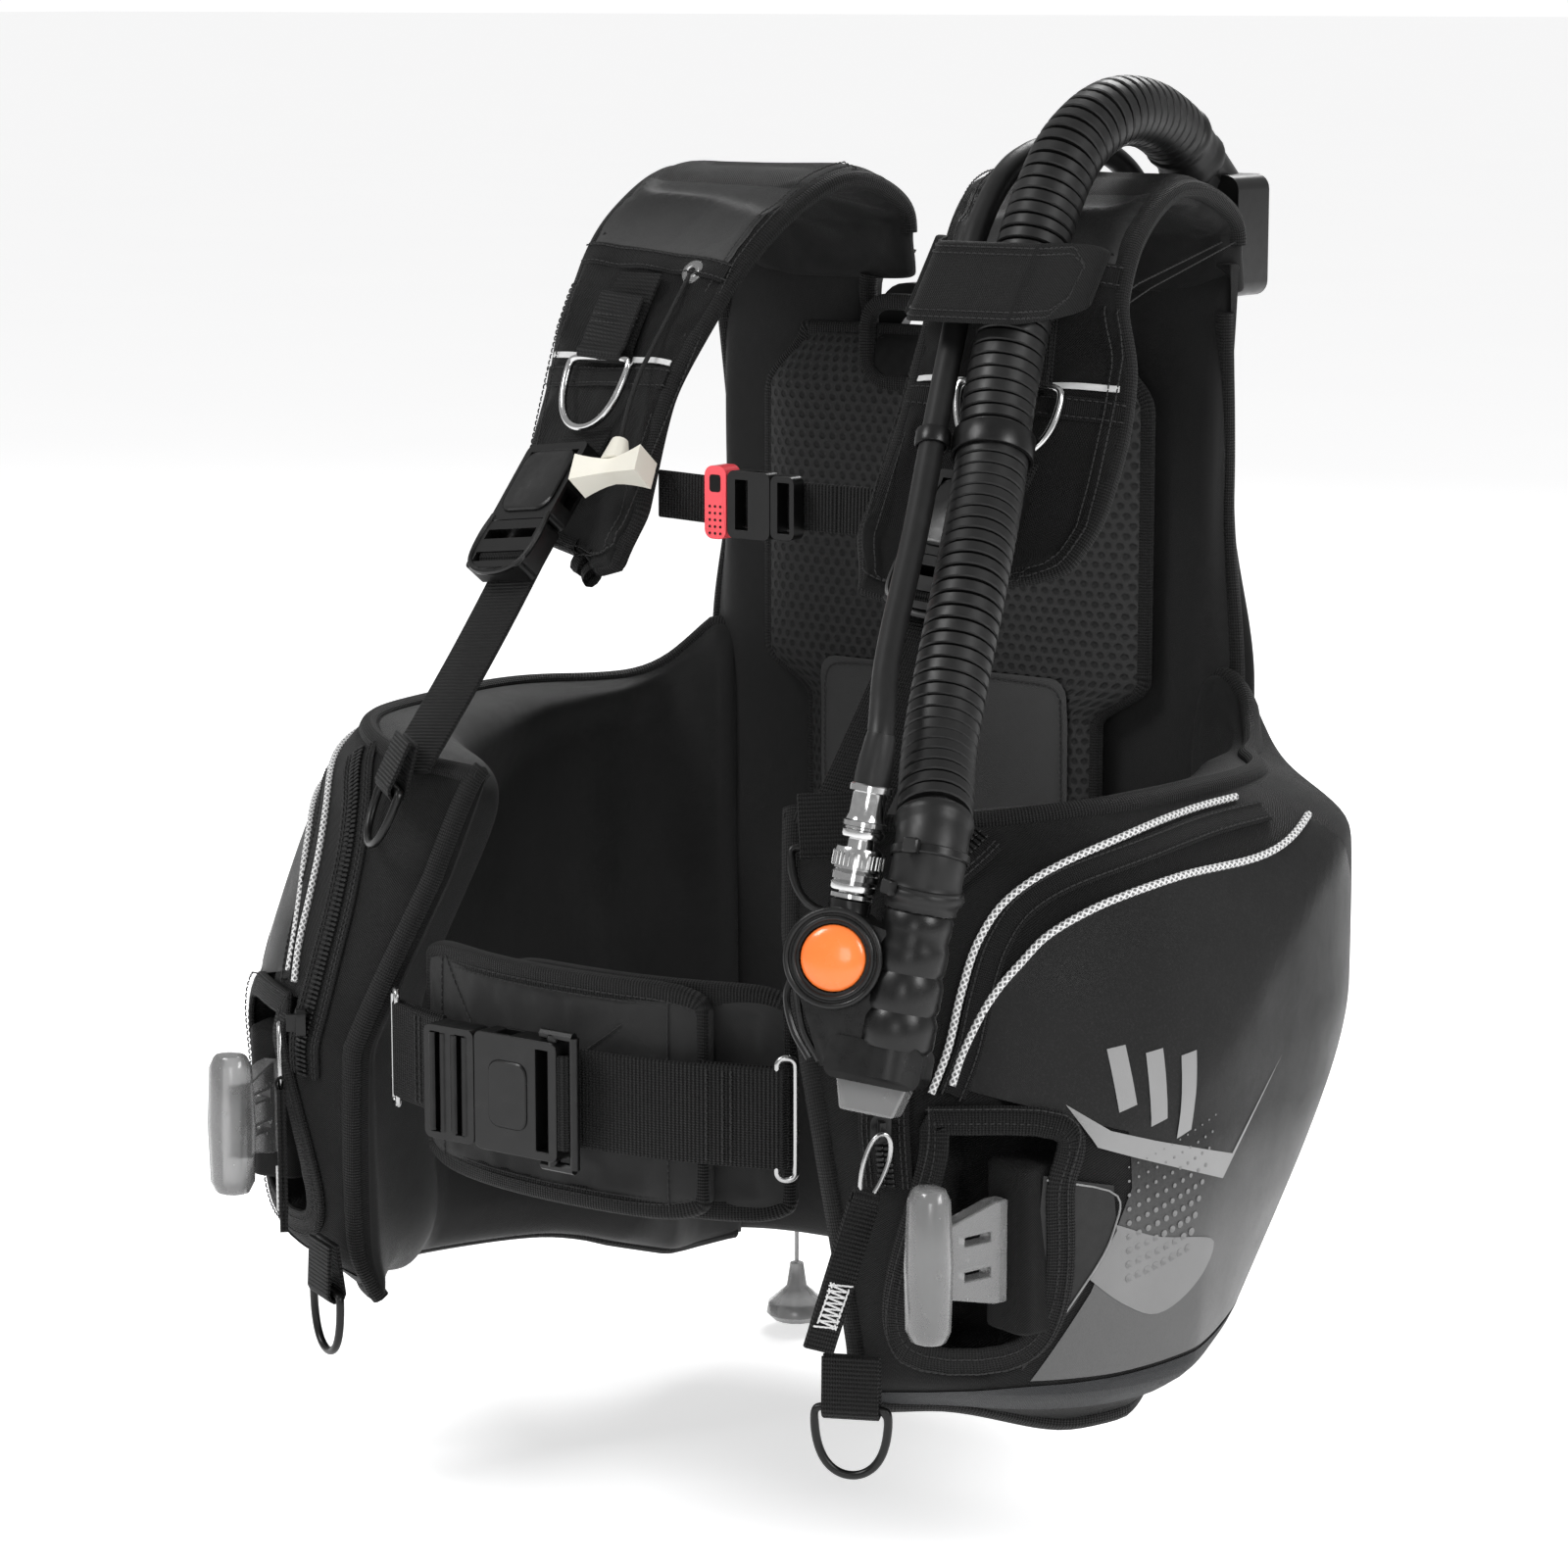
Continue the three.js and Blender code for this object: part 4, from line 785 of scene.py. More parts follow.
# ---------------------------------------------------------------- repeats along paths
@dataclass(frozen=True)
class Repeat:
    """A shape repeated along paths: stitches, ribs, teeth or dots.

    The tree's inputs are the shape, the pitch and the material.
    """

    shape: bpy.types.Mesh
    pitch: float
    finish: Finish

    def tree(self) -> bpy.types.NodeTree:
        """Builds the node tree, or returns it where it was built before."""
        made = bpy.data.node_groups.get("repeat_along_path")
        if made:
            return made
        tree = bpy.data.node_groups.new("repeat_along_path", "GeometryNodeTree")
        face = tree.interface
        for name, kind in (("Paths", "Geometry"), ("Shape", "Object"), ("Pitch", "Float"),
                           ("Material", "Material")):
            face.new_socket(name, in_out="INPUT", socket_type="NodeSocket" + kind)
        face.new_socket("Result", in_out="OUTPUT", socket_type="NodeSocketGeometry")

        def node(kind: str, **settings: object) -> bpy.types.Node:
            """Adds a node with its settings."""
            new = tree.nodes.new(kind)
            for key, value in settings.items():
                setattr(new, key, value)
            return new

        given, result = node("NodeGroupInput"), node("NodeGroupOutput")
        curve = node("GeometryNodeMeshToCurve")
        spaced = node("GeometryNodeResampleCurve", mode="LENGTH")
        tangent = node("GeometryNodeInputTangent")
        out = node("GeometryNodeInputNamedAttribute", data_type="FLOAT_VECTOR")
        out.inputs["Name"].default_value = "out"
        ahead = node("FunctionNodeAlignRotationToVector", axis="X")
        upright = node("FunctionNodeAlignRotationToVector", axis="Z", pivot_axis="X")
        shape = node("GeometryNodeObjectInfo", transform_space="ORIGINAL")
        copies = node("GeometryNodeInstanceOnPoints")
        real = node("GeometryNodeRealizeInstances")
        paint = node("GeometryNodeSetMaterial")
        for a, b in (
                (given.outputs["Paths"], curve.inputs[0]), (curve.outputs[0], spaced.inputs["Curve"]),
                (given.outputs["Pitch"], spaced.inputs["Length"]),
                (given.outputs["Shape"], shape.inputs["Object"]),
                (tangent.outputs[0], ahead.inputs["Vector"]),
                (ahead.outputs[0], upright.inputs["Rotation"]),
                (out.outputs[0], upright.inputs["Vector"]),
                (spaced.outputs[0], copies.inputs["Points"]),
                (shape.outputs["Geometry"], copies.inputs["Instance"]),
                (upright.outputs[0], copies.inputs["Rotation"]),
                (copies.outputs[0], real.inputs[0]), (real.outputs[0], paint.inputs["Geometry"]),
                (given.outputs["Material"], paint.inputs["Material"]),
                (paint.outputs[0], result.inputs[0])):
            tree.links.new(a, b)
        return tree

    def along(self, name: str, paths: Sequence[tuple[Line, Line]], body: str = "vest",
              side: int = 1) -> bpy.types.Object:
        """Repeats the shape.

        Args:
            name: name of the piece.
            paths: lines with the outward direction at each of their points, in millimetres.
            body: the body that it rides on.
            side: -1 mirrors it to the wearer's right.

        Returns:
            The object.
        """
        points, edges, outs = [], [], []
        for line, out in paths:
            first = len(points)
            points += (TRUNK.place(line * (side, 1, 1))).tolist()
            outs += (np.broadcast_to(out, line.shape) * (side, 1, 1)).tolist()
            edges += [(first + k, first + k + 1) for k in range(len(line) - 1)]
        mesh = bpy.data.meshes.new(name)
        mesh.from_pydata(points, edges, [])
        layer = mesh.attributes.new("out", "FLOAT_VECTOR", "POINT")
        layer.data.foreach_set("vector", np.array(outs, np.float32).ravel())
        carrier = bpy.data.objects.new(name + "_paths", mesh)
        stamp = bpy.data.objects.new(name + "_shape", self.shape)
        for made in (carrier, stamp):
            bpy.context.scene.collection.objects.link(made)
        modifier = carrier.modifiers.new("repeat", "NODES")
        modifier.node_group = self.tree()
        values = {"Shape": stamp, "Pitch": self.pitch * MM, "Material": self.finish.material}
        for item in modifier.node_group.interface.items_tree:
            if item.in_out == "INPUT" and item.name in values:
                modifier[item.identifier] = values[item.name]
        graph = bpy.context.evaluated_depsgraph_get()
        result = bpy.data.meshes.new_from_object(carrier.evaluated_get(graph))
        result.name = name
        for made in (carrier, stamp):
            bpy.data.objects.remove(made)
        for attribute in list(result.attributes):
            if attribute.name == "out":
                result.attributes.remove(attribute)
        return finished(result, name, body, self.finish.slot)


def stamp(maker: Maker) -> bpy.types.Mesh:
    """A collected shape as a mesh in metres about its own origin, ready to be repeated."""
    mesh = maker.mesh()
    mesh.transform(Matrix.Translation(Vector(np.array(ORIGIN) * MM)))
    mesh.shade_smooth()
    return mesh


HOME = Axes(vec(0, 0, 0), vec(1, 0, 0), vec(0, 1, 0), vec(0, 0, 1))


def stitch_shape(length: float, radius: float) -> bpy.types.Mesh:
    """One stitch that dips into the cloth at both ends."""
    maker = Maker("stitch")
    t = np.linspace(-1, 1, 5)
    line = np.stack([t * length / 2, t * 0, radius * (0.9 - 1.3 * t * t)], 1)
    maker.sweep(line, vec(0, 1, 0), circle(radius, 5), Finish.THREAD)
    return stamp(maker)


def stitches(name: str, paths: list, length: float = 2.6, radius: float = 0.42, pitch: float = 3.4,
             side: int = 1) -> None:
    """Sews rows of stitches along paths."""
    Repeat(stitch_shape(length, radius), pitch, Finish.THREAD).along(name, paths, side=side)


def hoop(axes: Axes, radius: float, count: int, x: float = 0.0, z: float = 0.0) -> Line:
    """A circle about the axes' Z, its middle x along and z up from their place."""
    turn = np.linspace(0, 2 * math.pi, count + 1)[:-1]
    return np.array([axes.at(x + radius * math.cos(t), radius * math.sin(t), z) for t in turn])


def cord_curve(name: str, line: Line, radius: float, roundness: int, finish: Finish,
               node: str) -> tuple[bpy.types.Object, Line]:
    """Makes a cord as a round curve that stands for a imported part.

    Args:
        name: name of the piece.
        line: its middle in millimetres.
        radius: its radius in millimetres.
        roundness: the curve's bevel resolution.
        finish: what it is made of.
        node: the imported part.

    Returns:
        The curve, and its points in metres.
    """
    points = TRUNK.place(line)
    curve = bpy.data.curves.new(name, "CURVE")
    curve.dimensions = "3D"
    curve.bevel_depth, curve.bevel_resolution, curve.resolution_u = radius * MM, roundness, 6
    curve.use_fill_caps = True
    track = curve.splines.new("BEZIER")
    track.bezier_points.add(len(points) - 1)
    for knot, co in zip(track.bezier_points, points):
        knot.co = co
        knot.handle_left_type = knot.handle_right_type = "AUTO"
    curve.materials.append(finish.material)
    cord = bpy.data.objects.new(name, curve)
    bpy.context.scene.collection.objects.link(cord)
    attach(cord, "vest")
    finish.slot
    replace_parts(cord, node)
    return cord, points


# ---------------------------------------------------------------- lines and panels on a surface
@dataclass
class Surface:
    """A finished surface that seams, bindings and panels are laid on."""

    points: Line
    faces: list

    def __post_init__(self) -> None:
        """Builds its search tree."""
        self.tree = BVHTree.FromPolygons([tuple(p) for p in self.points], self.faces)

    def drop(self, start: Point, target: Point) -> tuple[Point, Point]:
        """Where a line from start to target meets the surface, and the outward direction there."""
        way = unit(target - start)
        hit, normal, _, _ = self.tree.ray_cast(Vector(start), Vector(way))
        if hit is None:
            hit, normal, _, _ = self.tree.find_nearest(Vector(target * 0.5 + start * 0.5))
        normal = np.array(normal)
        return np.array(hit), (normal if np.dot(normal, way) < 0 else -normal)

    def line(self, pairs: Sequence[tuple[Point, Point]], lift: float = 0.0) -> tuple[Line, Line]:
        """Lays a line on the surface.

        Args:
            pairs: start and target of each of its points.
            lift: how far it stands off.

        Returns:
            The line, and the outward direction at each point.
        """
        hits = [self.drop(a, b) for a, b in pairs]
        outs = np.array([n for _, n in hits])
        for _ in range(3):
            outs[1:-1] = (outs[:-2] + outs[1:-1] * 2 + outs[2:]) / 4
        outs /= np.linalg.norm(outs, axis=1, keepdims=True)
        line = np.array([p for p, _ in hits])
        line[1:-1] = (line[:-2] + line[1:-1] * 2 + line[2:]) / 4
        return line + outs * lift, outs


Aim = Callable[[float, float], tuple[Point, Point]]


def on(surface: Surface, aim: Aim, corners: Sequence[Sequence[float]], lift: float = 0.0,
       step: float = 4.0, ring: bool = False) -> tuple[Line, Line]:
    """Lays a smooth line through corners given in a surface's own two coordinates."""
    corners = [tuple(c) for c in corners]
    if ring:
        corners.append(corners[0])
    rough = np.array([aim(*c)[1] for c in corners])
    count = max(4, int(lengths(rough)[-1] / step))
    flat = spline([(*c, 0) for c in corners], count) if len(corners) > 2 else even(
        np.array([(*c, 0) for c in corners], float), count)
    return surface.line([aim(p[0], p[1]) for p in flat], lift)


def overlay(maker: Maker, surface: Surface, aim: Aim, outline: Sequence[Sequence[float]], finish: Finish,
            lift: float = 0.6, step: float = 5.0, scale: float = 1.0, smooth: bool = True) -> None:
    """Adds a panel that lies on a surface.

    Args:
        maker: the piece that gets it.
        surface: what it lies on.
        aim: turns the surface's two coordinates into a line of sight.
        outline: its corners in those coordinates.
        finish: what it is made of.
        lift: how far it stands off.
        step: size of its faces.
        scale: millimetres to one unit of the first coordinate.
        smooth: rounds the outline through its corners.
    """
    flat = [(a * scale, b, 0) for a, b in outline]
    if smooth:
        edge = spline(flat + [flat[0]], max(12, int(lengths(np.array(flat))[-1] / step * 1.4)))[:-1]
    else:
        edge = np.concatenate([even(np.array([p, q], float), max(2, int(
            np.linalg.norm(np.subtract(p, q)) / step) + 1))[:-1] for p, q in zip(flat, flat[1:] + flat[:1])])
    edge = edge[:, :2]
    low, high = edge.min(0), edge.max(0)
    inner = [(x, y) for k, y in enumerate(np.arange(low[1], high[1], step * 0.87))
             for x in np.arange(low[0] + (k % 2) * step / 2, high[0], step)]
    following = np.roll(edge, -1, 0)

    def inside(p: Sequence[float], margin: float) -> bool:
        """Whether a point is inside the outline by the margin."""
        crossing = (edge[:, 1] > p[1]) != (following[:, 1] > p[1])
        with np.errstate(divide="ignore", invalid="ignore"):
            x = edge[:, 0] + (p[1] - edge[:, 1]) * (following - edge)[:, 0] / (following - edge)[:, 1]
        return bool((crossing & (p[0] < x)).sum() % 2) and np.hypot(*(edge - p).T).min() > margin

    inner = [p for p in inner if inside(p, step * 0.45)]
    ring = list(range(len(edge)))
    done = delaunay_2d_cdt([Vector(p) for p in list(edge) + inner], [], [ring], 1, 1e-4)
    hits = [surface.drop(*aim(p.x / scale, p.y)) for p in done[0]]
    points = np.array([h + n * lift for h, n in hits])
    maker.add(points, done[2], finish, np.array([(p.x, p.y) for p in done[0]]) * MM)


# ---------------------------------------------------------------- soft shells
@dataclass(frozen=True)
class Fill:
    """How a sewn shell is blown up: the cloth hangs between its seams and swells off the foam."""

    pressure: float = 4.0
    spare: float = 0.02
    most: float = 7.0
    frames: int = 20
    bending: float = 0.4

    def settle(self, points: Line, faces: list, held: np.ndarray) -> Line:
        """Blows a closed shell up.

        Args:
            points: its corners in millimetres.
            faces: indices into points.
            held: 1 where a seam holds a point still, down to 0 where it is free.

        Returns:
            Where the points end.
        """
        mesh = bpy.data.meshes.new("settling")
        mesh.from_pydata((points * MM).tolist(), [], faces)
        cloth = bpy.data.objects.new("settling", mesh)
        bpy.context.scene.collection.objects.link(cloth)
        group = cloth.vertex_groups.new(name="held")
        for k, weight in enumerate(held):
            if weight > 0.01:
                group.add([k], float(weight), "REPLACE")
        settings = cloth.modifiers.new("cloth", "CLOTH").settings
        settings.quality, settings.mass = 5, 0.3
        settings.tension_stiffness = settings.compression_stiffness = 15
        settings.shear_stiffness, settings.bending_stiffness = 5, self.bending
        settings.use_pressure, settings.uniform_pressure_force = True, self.pressure
        settings.shrink_min = -self.spare
        settings.vertex_group_mass = "held"
        settings.effector_weights.gravity = 0
        scene = bpy.context.scene
        for number in range(1, self.frames + 1):
            scene.frame_set(number)
        graph = bpy.context.evaluated_depsgraph_get()
        moved = np.zeros(len(points) * 3)
        cloth.evaluated_get(graph).data.vertices.foreach_get("co", moved)
        bpy.data.objects.remove(cloth)
        scene.frame_set(1)
        way = moved.reshape(-1, 3) / MM - points
        far = np.linalg.norm(way, axis=1, keepdims=True)
        return points + way * np.minimum(1, self.most / np.maximum(far, 1e-6))


@dataclass
class Shell:
    """A sewn shell of two sheets over a grid, with its first half outside and its second inside."""

    outer: np.ndarray
    inner: np.ndarray

    def __post_init__(self) -> None:
        """Joins the two sheets into one closed grid."""
        self.rows, self.cols = self.outer.shape[:2]
        both = np.concatenate([self.outer, self.inner[:, ::-1]], 1)
        n = both.shape[1]
        self.points = both.reshape(-1, 3)
        self.width = n
        self.faces = [(i * n + j, i * n + (j + 1) % n, (i + 1) * n + (j + 1) % n, (i + 1) * n + j)
                      for i in range(self.rows - 1) for j in range(n)]
        c = self.cols
        for row in (0, self.rows - 1):
            self.faces += [(row * n + j, row * n + j + 1, row * n + n - 2 - j, row * n + n - 1 - j)
                           for j in range(c - 1)]
        self.face_is_outer = [f[0] % n < c and f[1] % n < c for f in self.faces]

    @staticmethod
    def of(us: Sequence[float], vs: Sequence[float], point: Callable[[float, float, bool], Point]) -> "Shell":
        """A shell from a rule on two shares and on whether the point is outside."""
        return Shell(*[np.array([[point(u, v, outside) for v in vs] for u in us]) for outside in (True, False)])

    def seamed(self, rows: int, cols: int, marks: Line | None = None,
               reach: float = 0.0) -> Callable[[int, int, bool], float]:
        """A rule that holds a shell at its edges and along its seams.

        Args:
            rows: how many rows are held at either end.
            cols: how many columns are held at either edge.
            marks: points of the seams on the outside.
            reach: how near a mark a point is held.

        Returns:
            The rule, for settle.
        """
        def near(i: int, j: int, outside: bool) -> float:
            """How firmly one point is held."""
            if not (rows <= i < self.rows - rows and cols <= j < self.cols - cols):
                return 1.0
            if marks is None or not outside:
                return 0.0
            return float(np.linalg.norm(marks - self.points[i * self.width + j], axis=1).min() < reach)
        return near

    def held(self, near: Callable[[int, int, bool], float]) -> np.ndarray:
        """How firmly each point is held, from a rule on its row, column and whether it is outside."""
        out = np.zeros(len(self.points))
        for k in range(len(out)):
            i, j = divmod(k, self.width)
            outside = j < self.cols
            out[k] = near(i, j if outside else self.width - 1 - j, outside)
        return out

    def settle(self, fill: Fill, near: Callable[[int, int, bool], float]) -> None:
        """Blows the shell up between its seams."""
        self.points = fill.settle(self.points, self.faces, self.held(near))

    def surface(self) -> Surface:
        """The shell as a surface to lay things on."""
        return Surface(self.points, self.faces)

    def sheet(self, outside: bool) -> np.ndarray:
        """One of the two sheets as a grid."""
        grid = self.points.reshape(self.rows, self.width, 3)
        return grid[:, :self.cols] if outside else grid[:, :self.cols - 1:-1]

    def onto(self, maker: Maker, outside: Finish, inside: Finish, moved: Line | None = None) -> None:
        """Adds the shell to a piece."""
        points = self.points if moved is None else moved
        grid = points.reshape(self.rows, self.width, 3)
        down = np.median([lengths(grid[:, j]) for j in range(0, self.width, 7)], 0)
        middle = lengths(grid[self.rows // 2])
        uv = np.array([(down[k // self.width], middle[k % self.width]) for k in range(len(points))]) * MM
        first = [f for f, o in zip(self.faces, self.face_is_outer) if o]
        second = [f for f, o in zip(self.faces, self.face_is_outer) if not o]
        maker.add(points, first, outside, uv)
        maker.add(points, second, inside, uv)


def eased(count: int, bunch: float = 0.55) -> np.ndarray:
    """Shares from 0 to 1 that lie closer together at both ends."""
    t = np.linspace(0, 1, count)
    return t * (1 - bunch) + (0.5 - 0.5 * np.cos(math.pi * t)) * bunch


def pinch(t: float, power: float) -> float:
    """Full in the middle and 0 at both edges, like a sewn pillow."""
    return math.sqrt(max(0.0, 1 - abs(2 * t - 1) ** power))


def strap_section(width: float, thickness: float) -> Line:
    """The section of a strap with round edges."""
    return rounded(width, thickness, thickness * 0.48, 2)


def bound_edge(maker: Maker, line: Line, inward: Line, width: float, thickness: float) -> None:
    """Folds a binding over an open edge.

    Args:
        maker: the piece that gets it.
        line: the edge.
        inward: the direction into the cloth at each point.
        width: how far it reaches in.
        thickness: its thickness over the cloth.
    """
    section = rounded(width, thickness, thickness * 0.45, 2) + (width * 0.32, 0)
    ahead = directions(line)
    inward = inward - ahead * (inward * ahead).sum(1, keepdims=True)
    inward /= np.maximum(np.linalg.norm(inward, axis=1, keepdims=True), 1e-9)
    maker.sweep(line, inward, section, Finish.BINDING)


@dataclass
class Lobe:
    """One side of the jacket: air cell and cargo pocket in one sewn shell, built once for both sides."""

    rows: int = 104
    cols: int = 46
    skin_depth: float = 4.0
    seam_depth: float = 13.0
    wing_gap: float = -3.4
    mouth_depth: float = 34.0
    angle_scale: float = 4.4
    opening: tuple = ((128, -116), (118, -115), (117, -146), (121, -232), (128, -235))
    piping_front: tuple = ((84, 16), (92, 15), (100, 12), (107, 6), (113, -3), (118, -16), (121.5, -34),
                           (124, -58), (126, -84), (128, -104))
    piping_low: tuple = ((77, 4), (87, -9), (99, -11), (107, -17), (114, -30), (118, -45), (121, -59),
                         (124.5, -84), (126, -100))
    zip_line: tuple = ((119, 12), (124.6, -6), (128.2, -28), (130.4, -55), (131.8, -84), (132.8, -122),
                       (132.4, -148))

    def inside(self, angle: float) -> float:
        """Depth of the wearer's side below the outline."""
        return (31 + 53 * between(angle, 50, 74) * (1 - between(angle, 112, 138))
                - 8 * between(angle, 136, 144))

    def depth(self, angle: float, z: float, u: float, v: float, outside: bool) -> float:
        """Depth of one sheet below the outline."""
        near = math.sqrt(max(0.0, 1 - u ** 16)) * math.sqrt(max(0.0, 1 - (1 - u) ** 60)) * pinch(v, 9)
        inside = self.inside(angle)
        under = between(z, TRUNK.pocket_hem + 10, TRUNK.hem(angle)) * max(0, inside - 26)
        face = self.skin_depth + min(under, inside - 20) * 0.6
        if outside:
            return face + self.seam_depth * (1 - near)
        return face + self.seam_depth + (inside - self.seam_depth - face) * near

    def spot(self, u: float, v: float) -> tuple[float, float]:
        """Angle and height at a share of the way forward and up."""
        start = TRUNK.wing_angle + self.wing_gap
        free = mix(start, 144, u)
        z = mix(TRUNK.hem(free), TRUNK.top(free), v)
        return mix(start, TRUNK.front_angle(z), u), z

    def build(self) -> None:
        """Builds the shell and lets it swell between its seams."""
        def point(u: float, v: float, outside: bool) -> Point:
            """A point of one sheet."""
            angle, z = self.spot(u, v)
            return TRUNK.skin(angle, z, self.depth(angle, z, u, v, outside))
        self.shell = Shell.of(eased(self.rows, 0.35), eased(self.cols, 0.7), point)
        seam = np.array([TRUNK.skin(a, z, 4) for line in (self.piping_front, self.piping_low)
                         for a, z in spline([(a, z, 0) for a, z in line], 60)[:, :2]])
        self.shell.settle(Fill(pressure=3.2, spare=0.035, most=7), self.shell.seamed(3, 2, seam, 4))
        self.surface = self.shell.surface()

    def aim(self, angle: float, z: float) -> tuple[Point, Point]:
        """A line of sight onto the outside."""
        return TRUNK.skin(angle, z, -30), TRUNK.skin(angle, z, 12)

    def recessed(self) -> Line:
        """The shell's points with the weight pocket's mouth sunk in."""
        points = self.shell.points.copy()
        poly = np.array(self.opening, float)
        along, up = eased(self.rows, 0.35), eased(self.cols, 0.7)
        for k, p in enumerate(points):
            if k % self.shell.width >= self.shell.cols or p[0] < 100:
                continue
            i, j = divmod(k, self.shell.width)
            angle, z = self.spot(along[i], up[j])
            inside = False
            for (a, b), (c, d) in zip(poly, np.roll(poly, -1, 0)):
                if (b > z) != (d > z) and angle < a + (z - b) * (c - a) / (d - b):
                    inside = not inside
            if inside:
                points[k] = p + vec(-0.259, 0.966, 0) * self.mouth_depth
        return points

    def dress(self, side: int, tag: str) -> None:
        """Makes one side's pieces."""
        maker = Maker("lobe_shell_" + tag, side)
        self.shell.onto(maker, Finish.CORDURA, Finish.LINING, self.recessed())
        piece = maker.make(sharp=70, smooth=1)
        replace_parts(piece, "lobe_" + tag, "pocket_" + tag)
        self.trim(side, tag)
        self.panels(side, tag)

    def trim(self, side: int, tag: str) -> None:
        """Bindings, piping, tapes, the zipper and their stitches."""
        trim = Maker("lobe_trim_" + tag, side)
        outer = self.shell.sheet(True)
        for edge, inward in ((outer[-2], outer[-7] - outer[-2]),
                             (outer[2:-2, -1], outer[2:-2, -5] - outer[2:-2, -1]),
                             (outer[2:-2, 0], outer[2:-2, 4] - outer[2:-2, 0])):
            count = int(lengths(edge)[-1] / 6)
            bound_edge(trim, even(edge, count), even(inward, count), 11, 9)
        for path in (self.piping_front, self.piping_low):
            trim.tube(on(self.surface, self.aim, path, 1.2, 4)[0], 1.9, Finish.PIPING, 8)
        lower = [(a - 1.9 * between(z, 46, 20), z - 7 * between(a, 124, 100)) for a, z in self.piping_front]
        line, outs = on(self.surface, self.aim, lower, 0.9, 5)
        trim.sweep(line, np.cross(outs, directions(line)), strap_section(13, 1.4), Finish.TAPE)
        stitched = [(line + np.cross(outs, directions(line)) * k + outs * 0.8, outs) for k in (-4.6, 4.6)]
        line, outs = on(self.surface, self.aim, self.zip_line, 0.8, 4)
        across = np.cross(outs, directions(line))
        trim.sweep(line, across, strap_section(26, 1.4), Finish.TAPE)
        teeth = [(line + across * k + outs * 1.2, outs) for k in (-2.2, 2.2)]
        stitched += [(line + across * k + outs * 0.8, outs) for k in (-10.5, 10.5, -8, 8)]
        ring, outs = on(self.surface, self.aim, self.opening, 1.3, 4, ring=True)
        ring, outs = ring[:-1], outs[:-1]
        away = ring - ring.mean(0)
        trim.sweep(ring, away - outs * (away * outs).sum(1, keepdims=True), strap_section(14, 3.2),
                   Finish.BINDING, ring=True)
        loop = np.concatenate([ring, ring[:1]])
        outs = np.concatenate([outs, outs[:1]])
        stitched += [(loop * (1 - k) + loop.mean(0) * k + outs * 1.7, outs) for k in (-0.09, 0.03)]
        trim.make(sharp=60)
        stitches("lobe_stitches_" + tag, stitched, side=side)
        Repeat(tooth_shape(), 2.6, Finish.TEETH).along("zip_teeth_" + tag, teeth, side=side)

    def panels(self, side: int, tag: str) -> None:
        """The printed panel below the low piping, its graphics, the rubber patch and the hem strip."""
        panel = Maker("lobe_panels_" + tag, side)
        sheets = [
            ([*self.piping_low, (119.6, -108), (110.5, -122), (110, -150), (113.5, -200), (118.5, -244),
              (110, -243), (100, -240), (86, -240), (75, -238), (72, -180), (71, -100), (72, -30)],
             Finish.PANEL, 0.5, 6, False),
            ([(115.2, -187), (110, -208), (106, -216), (101, -205), (98.5, -188), (107, -176), (113.5, -166)],
             Finish.FADE_INK, 0.9, 5, True),
            ([(116, -108), (113.6, -128), (98, -156), (88.5, -103), (96.6, -145), (112.2, -121)],
             Finish.LETTERLESS_INK, 0.9, 4, False)]
        sheets += [([(111.4 - k * 3.6, -84 - k * 3), (109.6 - k * 3.6, -82.5 - k * 3),
                     (109.4 - k * 3, -110 - k * 8), (111.2 - k * 3, -113 - k * 8)],
                    Finish.LETTERLESS_INK, 0.9, 4, False) for k in range(3)]
        sheets += [
            ([(118.6, -140), (112, -147), (111.4, -170), (115, -205), (119.4, -238)],
             Finish.PATCH, 1.4, 5, False),
            ([(134, -258), (119, -247), (110, -245), (100, -242), (86, -242), (75, -240), (75, -262),
              (100, -268), (119, -266), (132, -264)], Finish.HEM_STRIP, 0.6, 6, False)]
        for outline, finish, lift, step, smooth in sheets:
            overlay(panel, self.surface, self.aim, outline, finish, lift, step, self.angle_scale, smooth)
        rim = [(118.3, -142), (112.3, -149), (111.8, -170), (115.3, -204), (119.1, -234)]
        panel.tube(on(self.surface, self.aim, rim, 1.9, 4)[0], 0.5, Finish.LETTERLESS_INK, 6)
        panel.make(sharp=60)
        for k in range(9):
            ends = [(100 + k * 0.35, -122 - k * 8), (110.5 - k * 0.1, -139 - k * 7)]
            Repeat(dot_shape(0.5 + 0.22 * k), 5.2, Finish.FADE_INK).along(
                f"panel_dots_{k}_{tag}", [on(self.surface, self.aim, ends, 0.9, 4)], side=side)


def tooth_shape() -> bpy.types.Mesh:
    """One tooth of a moulded zipper."""
    maker = Maker("tooth")
    maker.plate(HOME.moved(0, 0, -0.2), rounded(1.7, 4.2, 0.5, 1), 1.7, Finish.TEETH, 0.4)
    return stamp(maker)


def dot_shape(radius: float) -> bpy.types.Mesh:
    """A flat printed dot."""
    maker = Maker("dot")
    maker.plate(HOME, circle(radius, 8), 0.15, Finish.FADE_INK)
    return stamp(maker)


